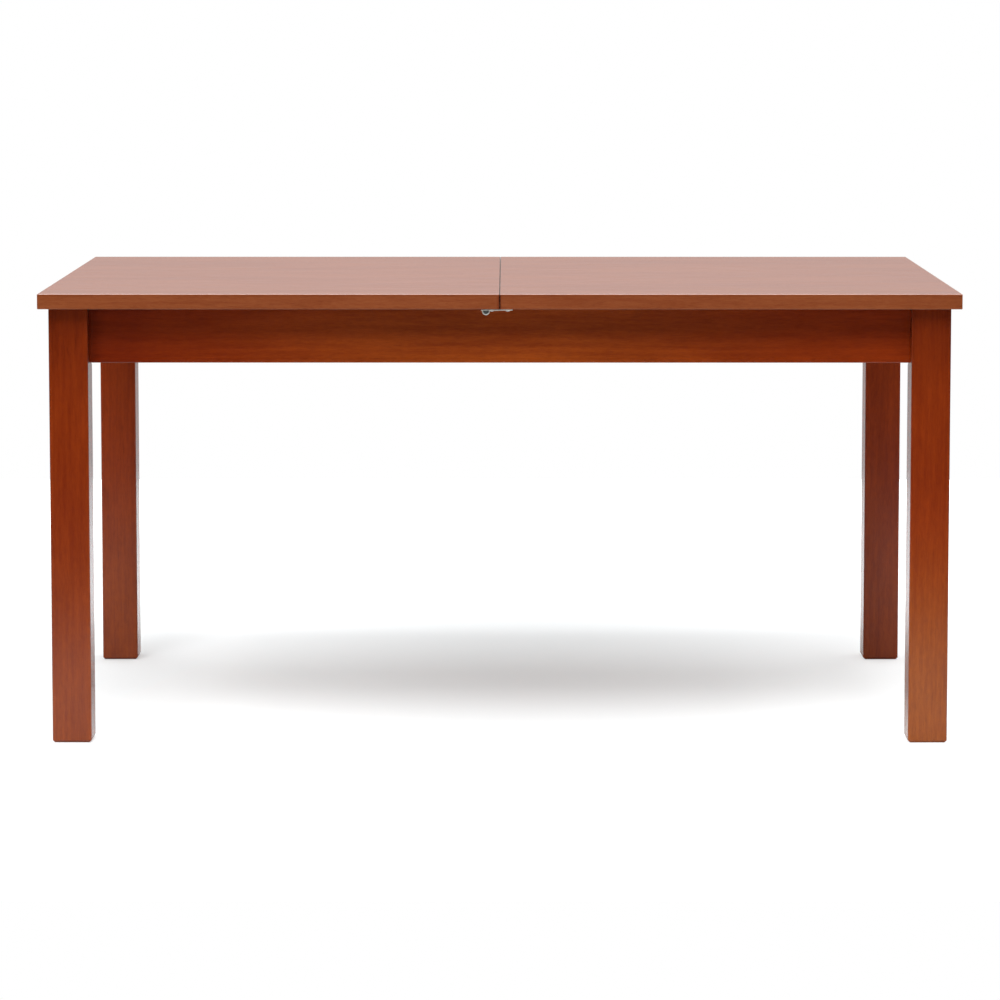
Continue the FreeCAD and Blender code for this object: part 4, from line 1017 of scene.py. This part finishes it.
# Catches. Under each end of the seam a nickel plated hook swings on a shouldered screw in one half, and takes
# hold of the neck of a like screw in the other half. Its thumb tab is half round, dished inside a raised rim;
# the dish is coloured dark grey as painted shade.
NICKEL_LIGHT = (0.92, 0.92, 0.86, 1.0)
NICKEL_DARK = (0.80, 0.81, 0.76, 1.0)
NICKEL_TINT = (0.70, 0.73, 0.68, 1.0)
BRIGHT_LIGHT = (1.0, 1.0, 0.98, 1.0)
BRIGHT_DARK = (0.92, 0.95, 0.91, 1.0)
BRIGHT_TINT = (0.86, 0.91, 0.87, 1.0)
# The dish's dark grey is painted shade.
DISH_SHADE_LIGHT = (0.23, 0.25, 0.24, 1.0)
DISH_SHADE_DARK = (0.16, 0.178, 0.168, 1.0)
NICKEL_ROUGH, NICKEL_RELIEF, NICKEL_METALLIC, DISH_ROUGH = 0.34, 0.05, 0.60, 0.42
HOOK_EASE = 0.00036
HOOK_FREED = math.radians(15)
HOOK_PLATE = 0.0030
TAB_FACE, TAB_THICKNESS = 0.0004, 0.0023
TAB_NARROWED, TAB_SHORTENED = 0.89, 0.94
DISH_DEPTH, DISH_REACH = 0.0012, 0.008
DISH_TOP, DISH_RAISED, DISH_WIDENED, DISH_SLOPE = 0.0015, 0.00065, 1.10, 0.98
NEAR_DISH = 0.0003
CATCH_SHANK, CATCH_ROOT, CATCH_PITCH = 0.00175, 0.00125, 0.0016
CATCH_POINT, CATCH_POINT_BARE, CATCH_RUNOUT, CATCH_BARE = 0.0030, 0.0020, 0.0006, 0.0004
CATCH_HEAD, CATCH_HEAD_HEIGHT = 0.0035, 0.0015
CATCH_DOME = [
    (0.00018, 0.0), (0.0, 0.00018), (0.0, 0.00045), (0.00022, 0.00080), (0.0007, 0.00112), (0.0014, 0.00134),
    (0.0023, 0.00146), (0.0032, CATCH_HEAD_HEIGHT),
]
CATCH_IN_WOOD = 0.014
CATCH_WASHER_RADIUS, CATCH_WASHER_BORE = 0.0045, 0.0022
SLOT_WIDTH, SLOT_DEPTH = 0.0009, 0.0008

NICKEL_FINISH = (NICKEL_ROUGH, NICKEL_RELIEF, NICKEL_METALLIC)
NICKEL = metal("nickel plated steel", NICKEL_LIGHT, NICKEL_DARK, NICKEL_TINT, *NICKEL_FINISH)
BRIGHT = metal("bright nickel", BRIGHT_LIGHT, BRIGHT_DARK, BRIGHT_TINT, *NICKEL_FINISH)
DISH_PAINTED_SHADE = metal("nickel painted dark as shade in the dish", DISH_SHADE_LIGHT, DISH_SHADE_DARK, DISH_SHADE_LIGHT, DISH_ROUGH, NICKEL_RELIEF)


def swing_hook(end, pivot_side, inwards):
    """The tab is shaped with the hook turned square and its pivot at the origin; inwards is the sign of y."""
    hook = whole_copy("catch_hook_" + end, "swing_hook_" + end)
    pivot = ends_of(solids_of("catch_pivot_" + pivot_side)[0])[0]
    square = Matrix.Rotation(-HOOK_FREED, 4, "Z") @ Matrix.Translation(-pivot)
    hook.data.transform(square)
    front = min(inwards * corner.co.y for corner in hook.data.vertices)
    tab = [corner.co.copy() for corner in hook.data.vertices if inwards * corner.co.y < front + TAB_FACE]
    middle = (min(c.x for c in tab) + max(c.x for c in tab)) / 2
    top = max(c.z for c in tab)
    centre = (middle, 0.0, top)
    dish = front + DISH_DEPTH
    lip = top - DISH_TOP * TAB_SHORTENED

    def of_tab(corner):
        return inwards * corner.co.y < front + TAB_THICKNESS or corner.co.z < top - HOOK_PLATE

    def on_lip(corner):
        return abs(corner.co.z - lip) < 0.0001 and inwards * corner.co.y < dish + NEAR_DISH

    def of_dish(place, normal):
        return abs(inwards * place.y - dish) < NEAR_DISH and inwards * normal.y < -0.9

    def in_dish(face):
        return of_dish(face.calc_center_median(), face.normal)

    resize_part(hook, of_tab, (TAB_NARROWED, 1.0, TAB_SHORTENED), centre, "VERT")
    resize_part(hook, in_dish, (DISH_WIDENED, 1.0, 1.0), centre, more=True)
    choose(hook, on_lip, "VERT")
    bpy.ops.transform.translate(value=(0.0, 0.0, DISH_RAISED))
    leave_edit(hook)
    resize_part(hook, in_dish, (DISH_SLOPE, 1.0, DISH_SLOPE), centre)
    eased(hook, HOOK_EASE, 3, 40.0, 32.0)
    fit(hook, "catch_" + end, "nickel_steel", NICKEL, "catch_hook_" + end)
    # The dish's faces get the dark grey, a painted shade.
    hook.data.materials.append(DISH_PAINTED_SHADE)
    for face in hook.data.polygons:
        if of_dish(face.center, face.normal) and abs(face.center.x - middle) < DISH_REACH:
            face.material_index = 1
    hook.data.transform(square.inverted())


swing_hook("front", "right", 1.0)
swing_hook("rear", "left", -1.0)


def catch_screw(length):
    """The screw points down the Z axis, with the top of its domed and slotted head at the origin."""
    core, seat, wood = CATCH_ROOT * CORE_SHARE, -CATCH_HEAD_HEIGHT, CATCH_IN_WOOD - length
    screw = turned_on_lathe("catch screw", [
        (TIP_RADIUS, -length), (core, CATCH_POINT - length), (core, wood - CATCH_RUNOUT), (CATCH_SHANK, wood),
        (CATCH_SHANK, seat),
    ] + rings(CATCH_HEAD, seat, CATCH_DOME), 36)
    start, end = CATCH_POINT_BARE - length, wood - CATCH_BARE
    thread = threaded_rod(start, end, CATCH_SHANK, CATCH_ROOT, CATCH_PITCH)
    combine(screw, thread, "UNION")
    slot = plain_block((3 * CATCH_HEAD, SLOT_WIDTH, 2 * SLOT_DEPTH))
    return soften(combine(screw, slot, "DIFFERENCE"))


def high_ends(node_name, axis):
    """The middle of each solid's high end along an axis, and the way back. Then the first one's length."""
    way = Vector([-1.0 if i == axis else 0.0 for i in range(3)])
    places, lengths = [], []
    for corners in solids_of(node_name):
        low = Vector([min(c[i] for c in corners) for i in range(3)])
        high = Vector([max(c[i] for c in corners) for i in range(3)])
        place = (low + high) / 2
        place[axis] = high[axis]
        places.append((place, way))
        lengths.append(high[axis] - low[axis])
    return places, lengths[0]


for kind in ("pivot", "stud"):
    for side in ("left", "right"):
        screw = kind + "_" + side
        fasten("catch_" + screw, "shouldered_" + screw, "top_" + side, catch_screw, "nickel_steel", BRIGHT)

for side in ("left", "right"):
    places, thickness = high_ends("catch_washer_" + side, 2)
    ring = flat_washer(CATCH_WASHER_RADIUS, CATCH_WASHER_BORE, thickness)
    ring = set_in_place(ring, places, "catch_ring_" + side)
    fit(ring, "top_" + side, "nickel_steel", NICKEL, "catch_washer_" + side)


# Folding leaf. Two small boards made as the top is, stored one on the other in the bay under the seam, each
# cut from its own veneer. Dowels stand out of the edges that will meet the two tops.
LEAF_SHIFTS = {"upper": 0.29, "lower": -0.36}
LEAF_PITH_HEIGHT = 0.40

for level, shift in LEAF_SHIFTS.items():
    wear("leaf_panel_" + level, veneered("lacquered leaf " + level, shift, LEAF_PITH_HEIGHT))
    dowels_for("leaf_pins_" + level, "dowels_leaf_" + level, "leaf")


# Fold hinges. Two concealed hinges: turned brass barrels pressed into the ends of both boards, slotted for
# three brass links that run round the fold on cross pins.
BRASS_LIGHT = (0.78, 0.56, 0.27, 1.0)
BRASS_DARK = (0.66, 0.46, 0.21, 1.0)
BRASS_TINT = (0.60, 0.44, 0.26, 1.0)
BRASS_ROUGH, BRASS_RELIEF = 0.28, 0.08
BARREL_RADIUS, BARREL_GROOVE, BARREL_RIBS = 0.0070, 0.0003, 6
BARREL_CHAMFER, BARREL_LIP = 0.0008, 0.0004
BARREL_SLOT_WIDTH, BARREL_SLOT_DEPTH = 0.0086, 0.0090
RIBS_FROM_END, RIBS_FROM_SLOT = 0.0022, 0.004
# Where a groove reaches its depth, starts to rise and ends, as shares of the way from rib to rib.
GROOVE_SHARES = (0.12, 0.38, 0.5)
LINK_EASE = 0.0003
LINK_PIN_RADIUS, LINK_PIN_CHAMFER = 0.0010, 0.0003

BRASS = metal("turned brass", BRASS_LIGHT, BRASS_DARK, BRASS_TINT, BRASS_ROUGH, BRASS_RELIEF)


def hinge_barrel(length):
    """The barrel lies under the origin on the Z axis, its slotted end uppermost."""
    groove = BARREL_RADIUS - BARREL_GROOVE
    profile = [(BARREL_RADIUS - BARREL_CHAMFER, -length), (BARREL_RADIUS, BARREL_CHAMFER - length)]
    rib = (length - BARREL_SLOT_DEPTH - RIBS_FROM_SLOT) / BARREL_RIBS
    for number in range(BARREL_RIBS):
        start = RIBS_FROM_END - length + number * rib
        deep, rising, end = (start + rib * share for share in GROOVE_SHARES)
        profile += [(BARREL_RADIUS, start), (groove, deep), (groove, rising), (BARREL_RADIUS, end)]
    profile += [(BARREL_RADIUS, -BARREL_LIP), (BARREL_RADIUS - BARREL_LIP, 0.0)]
    barrel = turned_on_lathe("barrel", profile, 40)
    slot = plain_block((BARREL_SLOT_WIDTH, 3 * BARREL_RADIUS, 2 * BARREL_SLOT_DEPTH))
    return soften(combine(barrel, slot, "DIFFERENCE"), 30.0)


def link_pin(length):
    end = LINK_PIN_RADIUS - LINK_PIN_CHAMFER
    return soften(turned_on_lathe("link pin", [
        (end, -length), (LINK_PIN_RADIUS, LINK_PIN_CHAMFER - length), (LINK_PIN_RADIUS, -LINK_PIN_CHAMFER),
        (end, 0.0),
    ], 20))


for level in ("upper", "lower"):
    places, length = high_ends("hinge_barrels_" + level, 1)
    barrels = set_in_place(hinge_barrel(length), places, "brass_barrels_" + level, 0.0)
    fit(barrels, "leaf", "brass", BRASS, "hinge_barrels_" + level)

links = eased(whole_copy("hinge_links", "cranked_links"), LINK_EASE, 2, 35.0, 30.0)
fit(links, "leaf", "brass", BRASS, "hinge_links")
places, length = high_ends("hinge_pins", 0)
fit(set_in_place(link_pin(length), places, "cross_pins"), "leaf", "brass", BRASS, "hinge_pins")


# Leaf brackets and pins. Bent steel brackets screwed on the upper board, with a turned steel pin riveted in
# each upright lug; the pins run in the bearing plates and carry the whole leaf.
PIN_RADIUS, PIN_CHAMFER = 0.0030, 0.0007
PIN_HEAD, PIN_HEAD_HEIGHT = 0.0045, 0.0015
PIN_DOME = [
    (0.0002, 0.0), (0.0, 0.0002), (0.0002, 0.0007), (0.0008, 0.0012), (0.0018, 0.0014),
    (0.0032, PIN_HEAD_HEIGHT),
]

for side in ("left", "right"):
    bracket = eased(whole_copy("pivot_bracket_" + side, "bent_bracket_" + side), PLATE_EASE, 2, 40.0)
    fit(bracket, "leaf", "zinc_steel", ZINC, "pivot_bracket_" + side)

fasten("bracket_screws", "leaf_bracket_screws", "leaf", pan_screw)


def leaf_pin(length):
    """The pin points down the Z axis, with the top of its riveted head at the origin."""
    seat = -PIN_HEAD_HEIGHT
    return soften(turned_on_lathe("leaf pin", [
        (PIN_RADIUS - PIN_CHAMFER, -length), (PIN_RADIUS, PIN_CHAMFER - length), (PIN_RADIUS, seat),
    ] + rings(PIN_HEAD, seat, PIN_DOME), 36))


fasten("pivot_pins", "riveted_pins", "leaf", leaf_pin)


# Floor, light and camera. The table stands on a white sweep, under a large softbox above and before it, with
# fill lights overhead and in front and pale paper behind. The camera sees the sweep paler and with less
# contrast than it lights the table, so that the shadow under the table stays a light, soft grey.
WHITE = (1.0, 1.0, 1.0, 1.0)
FLOOR_SPAN = (8.0, 4.6, 1.0)
FLOOR_CENTRE = (0.0, 0.75, -0.0005)
FLOOR_ALBEDO = (0.79, 0.82, 0.83, 1.0)
FLOOR_SEEN = 0.60
SHADOW_CENTRE = 0.06
# Where each change of the floor's or the room's light starts and ends, and its strength at either place.
NEAR_GLOW = (-0.35, 0.75, 0.48, 0.27)
SIDE_GLOW = (0.0, 1.0, 0.0, 0.30)
LEFT_SHADE = (-0.50, -0.72, 0.0, 0.20)
FAR_GLOW = (1.2, 2.8, 0.0, 0.70)
ROOM_LIGHT = (-0.5, 0.8, 0.0, 0.61)
CAMERA_PLACE = (0.0096, -6.7398, 1.2238)
CAMERA_TURN = (math.radians(90 - 5.3693), 0.0, 0.00145)
LENS, FRAMING_SHIFT = 140.167, -0.14


def mix_shaders(tree, factor, first, second):
    made = add_node(tree, "MixShader", Fac=factor)
    tree.links.new(first.outputs[0], made.inputs[1])
    tree.links.new(second.outputs[0], made.inputs[2])
    return made.outputs[0]


bpy.ops.mesh.primitive_plane_add(size=1.0, location=FLOOR_CENTRE)
floor = bpy.context.object
floor.name = "floor"
floor.scale = FLOOR_SPAN
bpy.ops.object.transform_apply(location=True, rotation=False, scale=True)
floor_material = bpy.data.materials.new("pale floor")
floor_material.use_nodes = True
tree = floor_material.node_tree
shader = tree.nodes["Principled BSDF"]
shader.inputs["Roughness"].default_value = 0.9
shader.inputs["Specular IOR Level"].default_value = 0.0
shader.inputs["Emission Color"].default_value = WHITE
place = add_node(tree, "TexCoord").outputs["Object"]
along, across, _ = add_node(tree, "SeparateXYZ", Vector=place).outputs
aside = calculate(tree, "ABSOLUTE", calculate(tree, "SUBTRACT", along, SHADOW_CENTRE))
reach = calculate(tree, "LENGTH", place, kind="VectorMath")
# The camera-only glow is painted light: it lightens and shapes the table's shadow; LEFT_SHADE paints shade on
# the left.
side_glow = calculate(tree, "SUBTRACT", ramp(tree, aside, *SIDE_GLOW), ramp(tree, along, *LEFT_SHADE))
glow = plus(tree, ramp(tree, across, *NEAR_GLOW), plus(tree, side_glow, ramp(tree, reach, *FAR_GLOW)))
seen = add_node(tree, "LightPath").outputs["Is Camera Ray"]
tree.links.new(times(tree, glow, seen), shader.inputs["Emission Strength"])
floor_colour = blend_colours(tree, seen, FLOOR_ALBEDO, shaded(FLOOR_ALBEDO, FLOOR_SEEN))
tree.links.new(floor_colour, shader.inputs["Base Color"])
underneath = add_node(tree, "NewGeometry").outputs["Backfacing"]
one_sided = mix_shaders(tree, underneath, shader, add_node(tree, "BsdfTransparent"))
tree.links.new(one_sided, tree.nodes["Material Output"].inputs["Surface"])
floor.data.materials.append(floor_material)


def soft_light(name, place, aim, size, power):
    """A rectangular lamp that the camera doesn't see."""
    lamp = bpy.data.lights.new(name, "AREA")
    lamp.shape = "RECTANGLE"
    lamp.size, lamp.size_y = size
    lamp.energy = power
    holder = bpy.data.objects.new(name, lamp)
    bpy.context.scene.collection.objects.link(holder)
    holder.location = place
    holder.rotation_euler = (Vector(aim) - Vector(place)).to_track_quat("-Z", "Y").to_euler()
    holder.visible_camera = False
    return holder


soft_light("main softbox", (-0.5, -3.3, 6.5), (0.0, 0.0, 0.3), (4.6, 4.6), 780.0)
soft_light("overhead fill", (0.0, 0.6, 3.6), (0.0, 0.6, 0.0), (4.5, 2.6), 150.0)
front_fill = soft_light("front fill", (0.0, -7.0, 1.2), (0.0, 0.0, 0.4), (4.0, 1.6), 95.0)
front_fill.visible_glossy = False

world = bpy.data.worlds.new("studio")
bpy.context.scene.world = world
world.use_nodes = True
sky = world.node_tree
sky.nodes.clear()
facing = add_node(sky, "SeparateXYZ", Vector=add_node(sky, "TexCoord").outputs["Generated"])
room = add_node(sky, "Background", Color=WHITE, Strength=ramp(sky, facing.outputs[1], *ROOM_LIGHT))
paper = add_node(sky, "Background", Color=WHITE, Strength=1.0)
seen = add_node(sky, "LightPath").outputs["Is Camera Ray"]
add_node(sky, "OutputWorld", Surface=mix_shaders(sky, seen, room, paper))

lens = bpy.data.cameras.new("camera")
lens.sensor_width = 36.0
lens.lens = LENS
lens.shift_y = FRAMING_SHIFT
lens.clip_end = 100.0
camera = bpy.data.objects.new("camera", lens)
bpy.context.scene.collection.objects.link(camera)
camera.location = CAMERA_PLACE
camera.rotation_euler = CAMERA_TURN
bpy.context.scene.camera = camera
bpy.context.scene.view_settings.view_transform = "Standard"
